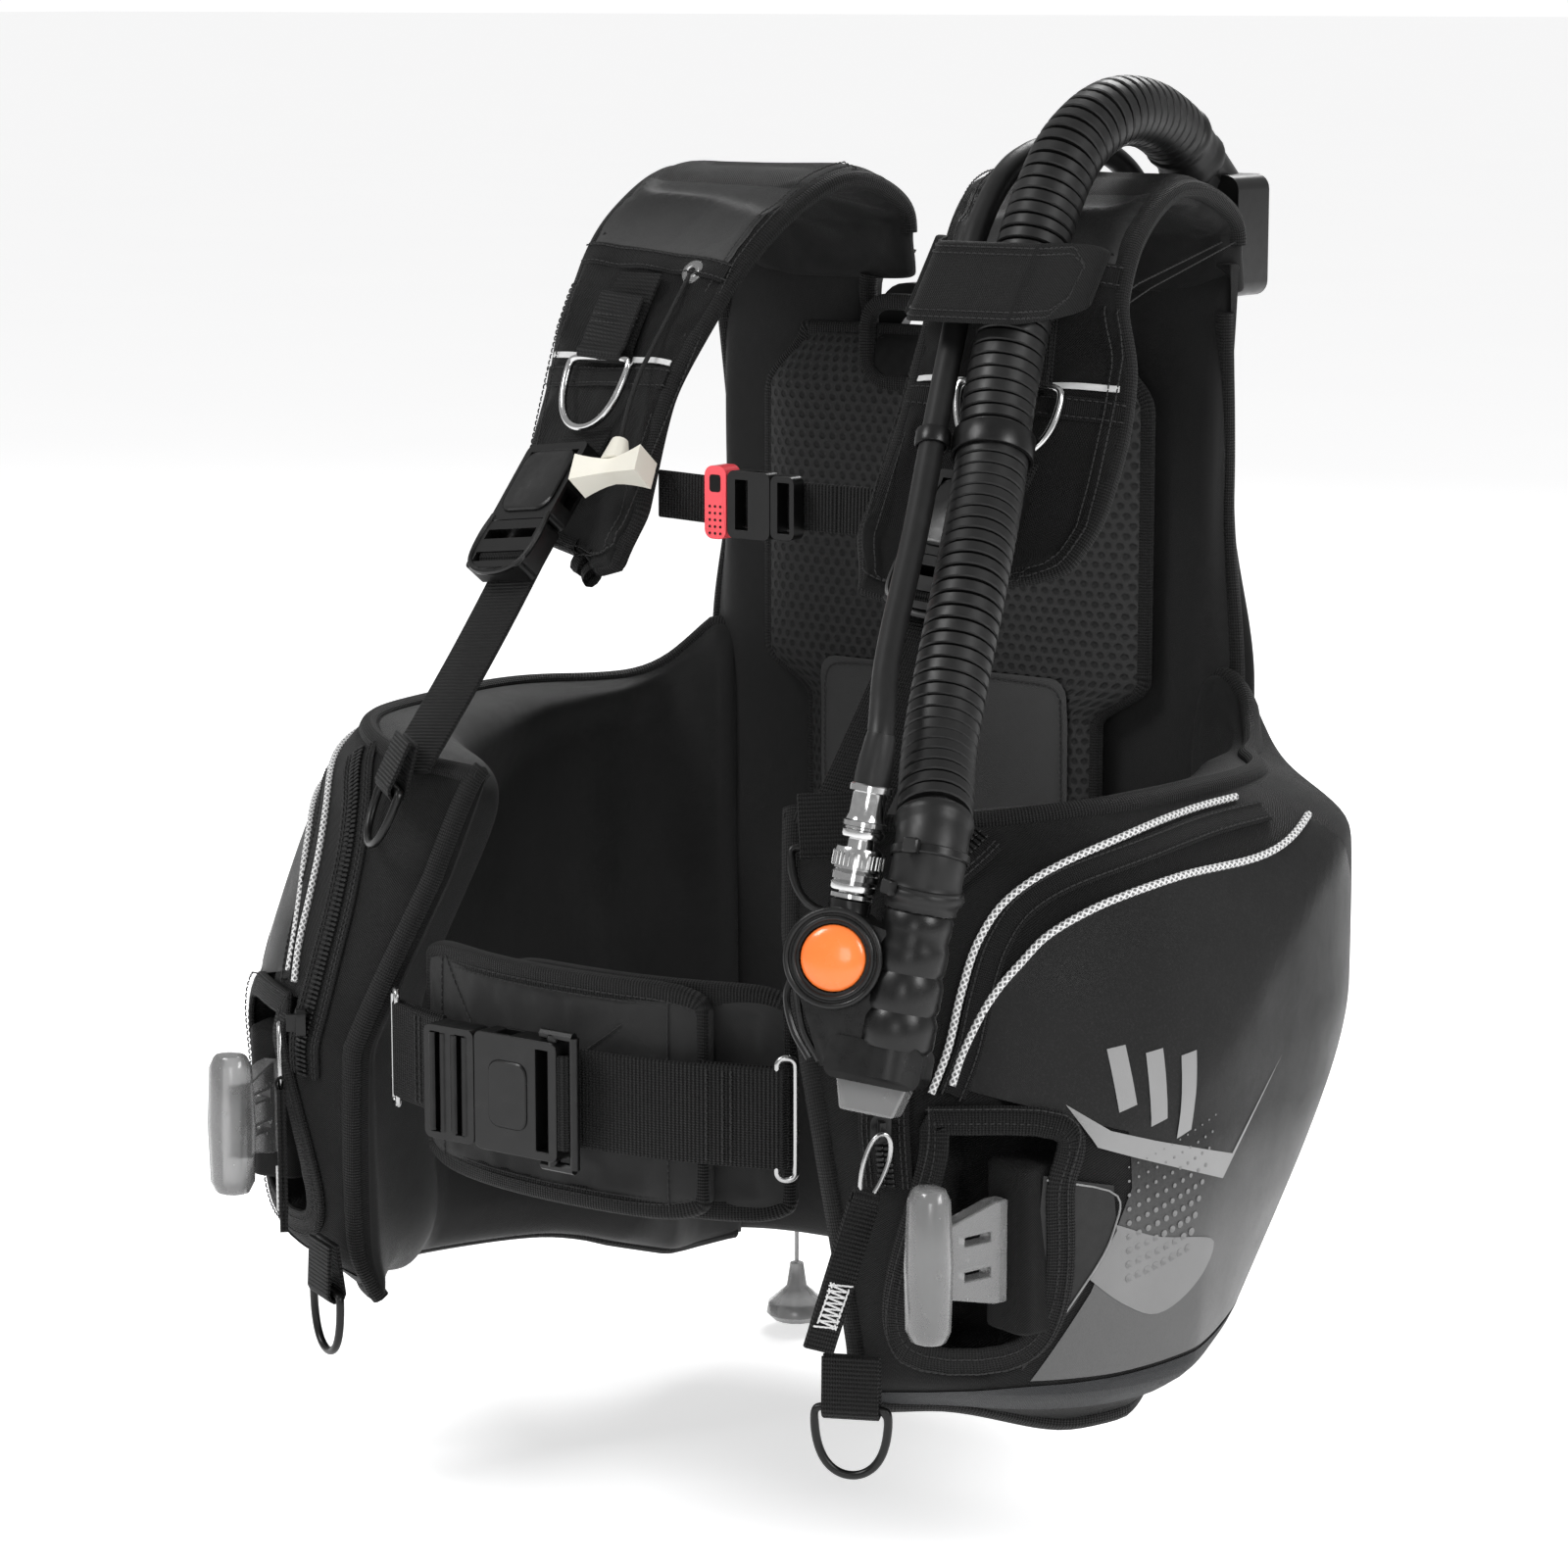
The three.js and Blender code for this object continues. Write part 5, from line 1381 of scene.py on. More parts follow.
@dataclass
class Back:
    """The rear wings, the padded back panel, the plate, the cylinder band and its buckle."""

    wing_rows: int = 40
    wing_cols: int = 76
    thickness: float = 30.0
    plate_width: float = 116.0
    plate_foot: float = -58.0
    plate_top: float = 250.0
    pad_spread: float = 112.0
    pad_width: float = 108.0
    pad_extra: float = 16.0
    panel_width: float = 248.0
    panel_top: float = 226.0
    panel_foot: float = -58.0
    panel_thickness: float = 14.0
    clear: float = 4.5
    plate_rear: float = 28.0
    plate_thickness: float = 9.0
    rail_depth: float = 14.0
    rail_spread: float = 38.0
    tank_radius: float = 92.0
    band_height: float = 20.0

    def wing_point(self, u: float, v: float, outside: bool) -> Point:
        """A point of one sheet of a wing."""
        z = mix(TRUNK.hem_back, TRUNK.wing_top, v)
        foot = between(z, self.plate_foot - 14, self.plate_foot - 56)
        share = pinch(u, 12) * pinch(v, 16)
        depth = self.thickness * (0.5 - 0.5 * share) if outside else self.thickness * (0.5 + 0.5 * share)
        edge = TRUNK.skin(TRUNK.wing_angle, min(z, 0), depth)
        outer = mix(edge[0], self.pad_spread + self.pad_width / 2 - 4 * between(z, TRUNK.wing_top, 130),
                    between(z, 45, 145))
        rear = TRUNK.skin(TRUNK.wing_angle, min(z, 0), 0)
        inner_x = mix(mix(self.plate_width / 2 + 8, 1, foot),
                      self.pad_spread - self.pad_width / 2 - self.pad_extra,
                      between(z, self.plate_top + 1, TRUNK.wing_top))
        x = mix(inner_x, outer, u)
        y = TRUNK.half_depth - depth
        roll = max(0.0, TRUNK.half_depth - rear[1]) * (x / rear[0]) ** 6
        shoulder = between(z, 150, TRUNK.wing_top) * (8 if outside else -6)
        return vec(x, y - min(roll, 40) - shoulder, z)

    def wings(self) -> None:
        """Both wings, swollen with air."""
        shell = Shell.of(eased(self.wing_rows, 0.5), eased(self.wing_cols, 0.4), self.wing_point)
        shell.settle(Fill(pressure=2.6, spare=0.045, most=8), shell.seamed(2, 1))
        for side, tag in SIDES:
            maker = Maker("wing_shell_" + tag, side)
            shell.onto(maker, Finish.CORDURA, Finish.LINING)
            piece = maker.make(sharp=70, smooth=1)
            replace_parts(piece, "back_wing_" + tag)
            trim = Maker("wing_binding_" + tag, side)
            outer = shell.sheet(True)
            for edge, inward in ((outer[-1], outer[-5] - outer[-1]), (outer[0], outer[4] - outer[0])):
                line, way = even(edge, 90), even(inward, 90)
                bound_edge(trim, line[4:-4], way[4:-4], 11, 8)
            trim.make(sharp=60)

    def panel(self) -> None:
        """The back panel of spacer mesh, with its bound edge, the carry hole's bound rim with painted shade
        inside it, and the lumbar cloth.
        """
        front = TRUNK.half_depth - self.thickness - self.clear
        half = self.panel_width / 2
        hole = Axes(vec(0, front, self.plate_top - 16 - 15), HOME.x, HOME.z, HOME.y)

        def width(z: float) -> float:
            """Half the width at a height."""
            return mix(mix(half, half - 30, between(z, 44, 20)), half * 0.8, between(z, 190, self.panel_top))

        def point(u: float, v: float, outside: bool) -> Point:
            """A point of one sheet."""
            z = mix(self.panel_foot, self.panel_top, v)
            share = pinch(u, 10) * pinch(v, 12)
            y = front - 2.5 - (self.panel_thickness - 2.5) * share if outside else front
            return vec((2 * u - 1) * width(z), y, z)
        shell = Shell.of(eased(50, 0.5), eased(60, 0.5), point)
        surface = shell.surface()
        maker = Maker("back_panel")
        shell.onto(maker, Finish.SPACER, Finish.CORDURA)
        edge = np.array([(s * width(z), front - 4, z) for s, zs in (
            (1, np.linspace(self.panel_foot, self.panel_top, 60)),
            (-1, np.linspace(self.panel_top, self.panel_foot, 60))) for z in zs])
        edge = even(np.concatenate([edge, edge[:1]]), 181)[:-1]
        middle = vec(0, front - 4, 80)
        maker.sweep(edge, middle - edge, rounded(11, 8, 3, 2) + (3, 0), Finish.BINDING, ring=True)
        rim = np.array([(x, front - 12, z) for x, z in rounded(104, 44, 14, 5) + (0, hole.place[2])])
        maker.sweep(rim, rim - rim.mean(0), rounded(9, 6, 2, 2), Finish.BINDING, ring=True)

        def aim(x: float, z: float) -> tuple[Point, Point]:
            """A line of sight onto the front."""
            return vec(x, front - 60, z), vec(x, front, z)
        # painted shade: a near-black sheet over the carry hole stands for the shade inside it; no hole is cut
        overlay(maker, surface, aim, [(x, z) for x, z in rounded(94, 36, 10, 4) + (0, hole.place[2])],
                Finish.DARK, 0.8, 7, 1, smooth=False)
        overlay(maker, surface, aim, [(x, z) for x, z in rounded(162, 92, 10, 4) + (0, -2)],
                Finish.LUMBAR, 1.5, 6, 1, smooth=False)
        spine = even(np.array([(0, front - 15.5, 40), (0, front - 15.5, 180)], float), 20)
        maker.sweep(spine, vec(1, 0, 0), strap_section(38, 2.2), Finish.WEB)
        piece = maker.make(sharp=70)
        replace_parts(piece, "back_pad")
        box = on(surface, aim, [(x, z) for x, z in rounded(154, 84, 8, 3) + (0, -2)], 1.9, 4, ring=True)
        stitches("lumbar_stitches", [box], 2.8, 0.45, 3.6)

    def band(self) -> None:
        """The cylinder band of webbing."""
        plate = TRUNK.half_depth - self.plate_rear
        tank = (plate + self.plate_thickness + self.rail_depth
                + math.sqrt(self.tank_radius ** 2 - self.rail_spread ** 2) + 1)
        radius = self.tank_radius + 1 + 1.3
        half = math.radians(122)
        ring = [(radius * math.sin(t), tank + radius * math.cos(t), self.band_height)
                for t in np.linspace(half, -half, 60)]
        end = self.plate_width / 2 - 9
        line = np.array([(end, plate + 3, self.band_height), *ring, (-end, plate + 3, self.band_height)])
        maker = Maker("band_web")
        maker.sweep(even(line, 90), vec(0, 0, 1), strap_section(50, 2.6), Finish.WEB)
        piece = maker.make(sharp=50)
        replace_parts(piece, "tank_band")

    def build(self) -> None:
        """Makes the whole back."""
        self.wings()
        self.panel()
        self.band()
        refined("backplate", Finish.ACETAL, 1.5)
        for node in ("tank_buckle", "tank_cam_lever", "rear_valve"):
            refined(node, Finish.ACETAL, 1.0)


@dataclass
class ShoulderPad:
    """The pads that go over the shoulders, with panels, bindings, lines and ring loops."""

    width: float = 108.0
    extra: float = 16.0
    flare: float = 7.0
    thickness: float = 15.0
    spread: float = 112.0
    rise: float = 42.0
    full: float = 0.86

    def __post_init__(self) -> None:
        """Lays out the middle line."""
        d, t, s = TRUNK.half_depth, TRUNK.wing_top, self.spread
        self.line = spline([(s, d - 18, t + 2), (s, d - 21, t + 20), (s, d - 45, t + self.rise - 7),
                            (s, d - 80, t + self.rise - 3), (s + 2, d - 116, t + self.rise - 20),
                            (s + 7, d - 148, t - 12), (s + 14, d - 179, t - 78), (s + 10, d - 205, t - 128),
                            (s + 4, d - 228, t - 168)], 401)
        self.ahead = directions(self.line)

    def axes(self, u: float) -> Axes:
        """The pad's directions at a share of its length: X across, Y along, Z out."""
        k = min(400, u * 400)
        low = int(min(max(k, 0), 399))
        place = mix(self.line[low], self.line[low + 1], k - low)
        ahead = unit(mix(self.ahead[low], self.ahead[low + 1], k - low))
        yaw = math.radians(20) * between(u, 0.4, 0.72)
        side = vec(math.cos(yaw), math.sin(yaw), 0)
        side = unit(side - ahead * np.dot(side, ahead))
        return Axes(place, side, ahead, np.cross(ahead, side))

    def on(self, u: float, offset: float, height: float) -> Axes:
        """Axes on the pad's front."""
        a = self.axes(u)
        return a.moved(offset, 0, self.thickness / 2 + height)

    def reach(self, u: float) -> tuple[float, float]:
        """Inner and outer edge at a share of the length."""
        full = 0.5 + (self.flare / self.width) * between(u, 0.5, 0.62) * between(u, 0.9, 0.78)
        outer = mix(full, -0.22, between(u, self.full, 1))
        inner = (mix(-0.5, -0.38, between(u, self.full + 0.04, 1))
                 - (self.extra / self.width) * between(u, 0.5, 0.15))
        return inner * self.width, outer * self.width

    def build(self) -> None:
        """Builds the shell once for both sides."""
        def point(u: float, v: float, outside: bool) -> Point:
            """A point of one sheet."""
            low, high = self.reach(u)
            share = pinch(v, 7) * math.sqrt(max(0, 1 - max(0, 2 * u - 1) ** 40))
            return self.axes(u).at(mix(low, high, v), 0, (0.5 if outside else -0.5) * (
                self.thickness * (0.2 + 0.8 * share)))
        self.shell = Shell.of(eased(110, 0.2) * 1.05 - 0.05, eased(30, 0.5), point)
        cross = [int((k + 0.05) / 1.05 * 109) for k in (0.47, 0.535, 0.66)]
        self.shell.settle(Fill(pressure=2.4, spare=0.015, most=3), lambda i, j, outside: float(
            i < 2 or i > 107 or j in (0, 29) or (outside and min(abs(i - c) for c in cross) < 1)))
        self.surface = self.shell.surface()

    def aim(self, u: float, offset: float) -> tuple[Point, Point]:
        """A line of sight onto the front."""
        a = self.axes(u)
        return a.at(offset, 0, 45), a.at(offset, 0, 2)

    def across(self, u: float, inset: float) -> list[tuple[float, float]]:
        """Points across the pad at a share of its length."""
        low, high = self.reach(u)
        return [(u, mix(low + inset, high - inset, t)) for t in (0, 0.33, 0.66, 1)]

    def region(self, start: float, end: float, inset: float = 6.0) -> list[tuple[float, float]]:
        """Outline of the pad between two shares of its length."""
        steps = np.linspace(start, end, 14)
        return ([(u, self.reach(u)[0] + inset) for u in steps]
                + [(u, self.reach(u)[1] - inset) for u in steps[::-1]])

    def dress(self, side: int, tag: str) -> None:
        """Makes one side's pieces."""
        maker = Maker("pad_shell_" + tag, side)
        self.shell.onto(maker, Finish.CORDURA, Finish.LINING)
        piece = maker.make(sharp=70, smooth=1)
        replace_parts(piece, "shoulder_pad_" + tag)
        trim = Maker("pad_trim_" + tag, side)
        length = lengths(self.line)[-1]
        overlay(trim, self.surface, self.aim, self.region(0.3, 0.47), Finish.PRINT, 0.5, 5, length,
                smooth=False)
        low, high = (np.array([self.axes(u).at(self.reach(u)[k], 0, 0) for u in np.linspace(0.02, 0.995, 130)])
                     for k in (0, 1))
        tip = even(np.array([low[-1], high[-1]]), 6)[1:-1]
        edge = np.concatenate([low, tip, high[::-1]])
        middle = np.concatenate([high, tip - self.ahead[-1] * 20, low[::-1]])
        edge, middle = even(edge, 250), even(middle, 250)
        bound_edge(trim, edge, middle - edge, 12, 9.5)
        stitched = []
        for inset in (3.2, 8.4):
            pts = ([(u, self.reach(u)[0] + inset) for u in np.linspace(0.03, 0.97, 60)]
                   + [(u, self.reach(u)[1] - inset) for u in np.linspace(0.97, 0.03, 60)])
            stitched.append(on(self.surface, self.aim, pts, 1.6, 4))
        for u, wide in ((0.475, 13), (0.665, 12)):
            line, outs = on(self.surface, self.aim, self.across(u, 3), 0.8, 4)
            side_way = np.cross(outs, directions(line))
            trim.sweep(line, side_way, strap_section(wide, 1.4), Finish.TAPE)
            stitched += [(line + side_way * k + outs * 0.9, outs) for k in (-wide * 0.36, wide * 0.36)]
        line, outs = on(self.surface, self.aim, self.across(0.635, 5), 0.9, 4)
        trim.sweep(line, np.cross(outs, directions(line)), strap_section(3.4, 0.9), Finish.LINE)
        ring = self.on(0.64, 2, 4.5)
        loop = []
        for t in np.linspace(0, 1, 24):
            if t < 0.42:
                loop.append(self.on(mix(0.5, 0.628, t / 0.42), 2, 2.2).place)
            elif t < 0.62:
                a = math.pi * (t - 0.42) / 0.2
                base = self.on(0.632, 2, 4.8)
                loop.append(base.at(0, 4.6 * math.sin(a), 4.2 * -math.cos(a)))
            else:
                loop.append(self.on(mix(0.628, 0.54, (t - 0.62) / 0.38), 2, 7.4).place)
        trim.sweep(even(np.array(loop), 40), ring.x, strap_section(40, 2), Finish.WEB)
        tack = [self.on(0.575 + k * 0.012, 0, 8.6) for k in range(2)]
        stitched += [(np.array([a.at(-17, 0, 0), a.at(0, 0, 0), a.at(17, 0, 0)]), a.z) for a in tack]
        trim.make(sharp=60)
        stitches("pad_stitches_" + tag, stitched, side=side)
        refined("shoulder_d_ring_" + tag, Finish.CHROME, 0.0, 80, 2)


@dataclass
class Straps:
    """The chest, waist and shoulder straps with their buckles, the cummerbund and the loose rings."""

    pad: ShoulderPad
    waist_height: float = -126.0
    waist_web: float = 50.0
    waist_bulge: float = 23.0
    ring_reach: float = 117.0
    chest_height: float = 147.0
    chest_web: float = 25.0
    chest_reach: float = 70.0
    shoulder_web: float = 38.0
    belt_height: float = 114.0
    belt_reach: float = 112.0
    belt_thickness: float = 8.0
    waist_seam: float = -36.0
    waist_socket: float = 52.0
    chest_seam: float = 5.0
    chest_socket: float = 27.0

    def waist_y(self, x: float) -> float:
        """How far forward the waist strap is."""
        return -TRUNK.half_depth + self.waist_bulge * (x / self.ring_reach) ** 2

    def belt_y(self, x: float) -> float:
        """How far forward the cummerbund is."""
        return -(TRUNK.half_depth - 15) + 25 * abs(x / 110) ** 2.2

    def belt(self, name: str, start: float, end: float, layer: int, node: str) -> None:
        """One side of the cummerbund, quilted by slanting seams.

        Args:
            name: name of the piece.
            start: its end to the wearer's right.
            end: its end to the wearer's left.
            layer: 1 where it lies under the other side.
            node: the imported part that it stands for.
        """
        def round_off(u: float) -> float:
            """Share of the height that is left towards the ends."""
            return 1 - 0.16 * abs(2 * u - 1) ** 10

        def point(u: float, v: float, outside: bool) -> Point:
            """A point of one sheet."""
            x = mix(start, end, u)
            y = self.belt_y(x) + layer * (self.belt_thickness + 1)
            share = pinch(v, 10) * math.sqrt(max(0, 1 - abs(2 * u - 1) ** 20))
            y += self.belt_thickness * (0.2 + 0.3 * share) * (-1 if outside else 1)
            return vec(x, y, self.waist_height + (v - 0.5) * self.belt_height * round_off(u))
        shell = Shell.of(eased(64, 0.3), eased(36, 0.4), point)
        z = self.waist_height
        creases = [[(-88, z + 52), (-52, z + 6)], [(34, z + 36), (-10, z + 4)], [(-92, z + 54), (-92, z - 54)],
                   [(60, z + 54), (60, z - 54)]]
        marks = np.array([vec(x, self.belt_y(x) - 4, h) for line in creases
                          for x, h, _ in even(np.array([(a, b, 0) for a, b in line], float), 20)])

        rule = shell.seamed(4, 4, marks, 0 if layer else 3)
        shell.settle(Fill(pressure=2.0, spare=0.012, most=2.5), rule)
        maker = Maker(name)
        shell.onto(maker, Finish.PADDING, Finish.LINING)
        rows = [mix(start, end, u) for u in np.linspace(0.02, 0.98, 60)]
        high = [(x, 1) for x in rows] + [(x, -1) for x in rows[::-1]]
        edge = []
        for x, s in high:
            u = (x - start) / (end - start)
            h = self.belt_height / 2 * round_off(u)
            edge.append((x, self.belt_y(x) + layer * (self.belt_thickness + 1), self.waist_height + s * h))
        edge = even(np.array(edge + edge[:1]), 181)[:-1]
        middle = edge * (1, 1, 0) + (0, 0, self.waist_height)
        middle[:, 0] = np.clip(middle[:, 0], start + 50, end - 50)
        maker.sweep(edge, middle - edge, rounded(13, 8.4, 3, 2) + (3.5, 0), Finish.BINDING, ring=True)
        piece = maker.make(sharp=70, smooth=1)
        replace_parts(piece, node)
        if layer == 0:
            surface = shell.surface()
            seams = [on(surface, lambda x, h: (vec(x, self.belt_y(x) - 40, h), vec(x, self.belt_y(x), h)),
                        line, 0.5, 4) for line in creases]
            loop = np.concatenate([edge, edge[:1]])
            edges = [(loop + (np.concatenate([middle, middle[:1]]) - loop) * k + (0, -4.4, 0), vec(0, -1, 0))
                     for k in (0.09, 0.14)]
            stitches("belt_stitches", seams + edges, 2.8, 0.42, 3.6)

    def flat(self, x: float, y: float, z: float) -> Axes:
        """Axes of a buckle that lies across the front: X to the wearer's left, Z forwards."""
        return Axes.of(vec(x, y, z), vec(1, 0, 0), vec(0, -1, 0))

    def waist(self) -> None:
        """The waist strap with its buckle and wire rings."""
        z, seam = self.waist_height, self.waist_seam
        for name, node, a, b in (
                ("waist_strap_l", "waist_web_l", seam + self.waist_socket - 14, self.ring_reach + 4),
                ("waist_strap_r", "waist_web_r", -self.ring_reach - 4, seam - 24)):
            line = np.array([(x, self.waist_y(x), z) for x in np.linspace(a, b, 40)])
            sign = 1 if b > 0 else -1
            tip = sign * (self.ring_reach + 4)
            back = np.array([(x, self.waist_y(x) + 5.2, z) for x in np.linspace(tip, tip - sign * 40, 14)])
            turn = np.array([(tip + sign * 2.6 * math.sin(t), self.waist_y(tip) + 2.6 - 2.6 * math.cos(t), z)
                             for t in np.linspace(0.3, 2.8, 7)])
            line = np.concatenate([line, turn, back] if b > 0 else [line[::-1], turn, back])
            maker = Maker(name)
            maker.sweep(line, vec(0, 0, 1), strap_section(self.waist_web, 2.4), Finish.WEB)
            piece = maker.make(sharp=50)
            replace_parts(piece, node)
        rows = [(np.array([(x, self.waist_y(x) - 1.5, h) for h in (z + 21, z - 21)]), vec(0, -1, 0))
                for x in (96, 100, -96, -100, 88)]
        stitches("waist_stitches", rows, 3, 0.5, 3.8)
        thick = 14
        y = self.waist_y(-20) - thick / 2 - 1.2 - 0.8
        refined("waist_buckle_socket", Finish.ACETAL, 1.2)
        refined("waist_buckle_plug", Finish.ACETAL, 1.2)
        face = self.flat(seam, y, z)
        extra = Maker("waist_socket_rods")
        for x, r in ((47, 3.2), (60, 2.6)):
            extra.tube(np.array([face.at(x, s, 2) for s in np.linspace(-33, 33, 12)]), r, Finish.ACETAL, 10)
        for s in (-33, 33):
            extra.tube(np.array([face.at(x, s, 2) for x in (40, 48, 60)]), 2.6, Finish.ACETAL, 8)
        roll = [face.at(53 + 5 * math.cos(t), 0, 5 * math.sin(t)) for t in np.linspace(0.2, 6.1, 22)]
        extra.sweep(np.array(roll), face.y, strap_section(48, 2.4), Finish.WEB)
        extra.plate(face.moved(22, 0, 6.6), rounded(24, 34, 6, 4), 1.4, Finish.ACETAL, 0.8)
        extra.make(sharp=40)
        ladder = Maker("waist_plug_bars")
        for x in (-27, -20, -13, -6):
            ladder.tube(np.array([face.at(x, s, 6.2) for s in np.linspace(-25, 25, 8)]), 1.9, Finish.ACETAL, 8)
        ladder.make("waist_release", sharp=40)
        for tag in "lr":
            refined("waist_ring_" + tag, Finish.WIRE, 0.0, 80, 2)

    def chest(self) -> None:
        """The chest strap with its buckle and the whistle."""
        z, seam = self.chest_height, self.chest_seam
        y = -8.0
        for name, node, a, b in (("chest_strap_l", "chest_web_l", seam + 2, self.chest_reach + 8),
                                 ("chest_strap_r", "chest_web_r", -self.chest_reach - 8, seam - 2)):
            maker = Maker(name)
            line = np.array([(x, y + 0.0018 * x * x * (abs(x) > 40) * 0.4, z + 0.4 * math.sin(x / 17)) for x in
                             np.linspace(a, b, 30)])
            maker.sweep(line, vec(0, 0, 1), strap_section(self.chest_web, 2.4), Finish.WEB)
            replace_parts(maker.make(sharp=50), node)
        refined("chest_buckle_socket", Finish.ACETAL, 1.0)
        refined("chest_buckle_plug", Finish.ACETAL, 1.0)
        refined("whistle", Finish.RED, 1.2)
        at = self.flat(seam - self.chest_socket - 9, y - 3.4, z)
        extra = Maker("whistle_details")
        # painted shade: a near-black plate stands for the shade inside the whistle's opening
        extra.plate(at.moved(0, 10, 6.2), rounded(7, 9, 1.5, 2), 0.5, Finish.DARK)
        extra.plate(Axes(at.at(-7.2, -2, -2), at.y, at.z, -at.x), rounded(30, 3, 1, 2), 1.6, Finish.RED, 0.5)
        extra.make("whistle")
        # painted shade: rows of near-black dots stand for the shade in the whistle's holes
        rows = [(np.array([at.at(x, -2, 6.6), at.at(x, -16, 6.6)]), at.z) for x in (-3.4, 0, 3.4)]
        Repeat(dot_shape(0.75), 2.8, Finish.DARK).along("whistle_dots", rows, "whistle")

    def shoulders(self) -> None:
        """The adjusting straps and their buckles."""
        top = self.pad.on(0.8, 4, 6).place
        foot = TRUNK.skin(136, TRUNK.lobe_top, -3.5) + vec(0, 0, 2.5)
        down = unit(foot - top)
        turn = math.radians(16)
        side = vec(math.cos(turn), math.sin(turn), 0)
        side = unit(side - down * np.dot(side, down))
        out = np.cross(down, side)
        out = out if out[1] < 0 else -out
        face = Axes(top, down, np.cross(out, down), out)
        length = np.linalg.norm(foot - top)
        for side_sign, tag in SIDES:
            refined("shoulder_buckle_socket_" + tag, Finish.ACETAL, 1.4)
            refined("shoulder_buckle_plug_" + tag, Finish.ACETAL, 1.4)
            maker = Maker("shoulder_strap_" + tag, side_sign)
            line = np.array([face.at(x, 0, -3.9 - 1.6 * math.sin((x - 56) / (length - 56) * math.pi))
                             for x in np.linspace(56, length + 4, 30)])
            maker.sweep(line, face.y, strap_section(self.shoulder_web, 2.4), Finish.WEB)
            tail = np.array([face.at(-20 + 3 * t, 0, -3.4 + 0.1 * t) for t in range(8)])
            maker.sweep(tail, face.y, strap_section(self.shoulder_web, 2.4), Finish.WEB)
            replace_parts(maker.make(sharp=50), "shoulder_web_" + tag)
            plug = Maker("shoulder_plug_details_" + tag, side_sign)
            start = 50.4
            for x in (start + 16, start + 24):
                bar = np.array([face.at(x, s, 4.4) for s in np.linspace(-20, 20, 8)])
                plug.tube(bar, 2.1, Finish.ACETAL, 8)
            roll = [face.at(start + 20 + 5.4 * math.cos(t), 0, 3.2 + 5.0 * math.sin(t)) for t in
                    np.linspace(0.2, 6, 20)]
            plug.sweep(np.array(roll), face.y, strap_section(36, 2.2), Finish.WEB)
            rim = [face.at(start + x, s, 10.2) for x, s in np.array([(-4, -22), (10, -24), (26, -21), (33, -10),
                                                                     (33, 10), (26, 21), (10, 24), (-4, 22)])]
            plug.tube(spline(rim, 40), 1.6, Finish.ACETAL, 8)
            plug.make("shoulder_release_" + tag, sharp=40)
            socket = Maker("shoulder_socket_details_" + tag, side_sign)
            socket.plate(face.moved(25, 0, 10.2), rounded(40, 40, 9, 4), 1.6, Finish.ACETAL, 1.2)
            socket.make(sharp=40)

    def rings(self) -> None:
        """The webbing loops of the lobe and hip rings, and the rings."""
        for side, tag in SIDES:
            refined("lobe_d_ring_" + tag, Finish.ACETAL, 0.0, 80, 2)
            refined("hip_d_ring_" + tag, Finish.ACETAL, 0.0, 80, 2)
            maker = Maker("ring_loops_" + tag, side)
            place = TRUNK.skin(137, 6, -8)
            down = unit(TRUNK.skin(137, -28, -8) - place)
            across = unit(vec(0.8, 0.6, 0))
            out = np.cross(across, down)
            out = out if out[1] < 0 else -out
            for at, way, wide, face, reach in (
                    (place, down, 34, out, 26),
                    (vec(TRUNK.half_width - 132, 20 - TRUNK.half_depth, TRUNK.hem_front + 8), vec(0, 0, -1), 28,
                     np.cross(vec(0.9, 0.43, 0), vec(0, 0, -1)), 26)):
                face = face if face[1] < 0 else -face
                side_way = np.cross(way, face)
                roll = [at - way * reach - face]
                roll += [at + way * 4.6 * math.sin(t) - face * 4.6 * math.cos(t)
                         for t in np.linspace(0.1, 3.0, 10)]
                roll += [at - way * reach + face * 3.2]
                maker.sweep(even(np.array(roll), 26), side_way, strap_section(wide, 2), Finish.WEB)
            maker.make(sharp=50)

    def build(self) -> None:
        """Makes all the straps."""
        self.belt("belt_outer", -self.belt_reach, 80, 0, "cummerbund_r")
        self.belt("belt_inner", -50, self.belt_reach + 2, 1, "cummerbund_l")
        self.waist()
        self.chest()
        self.shoulders()
        self.rings()


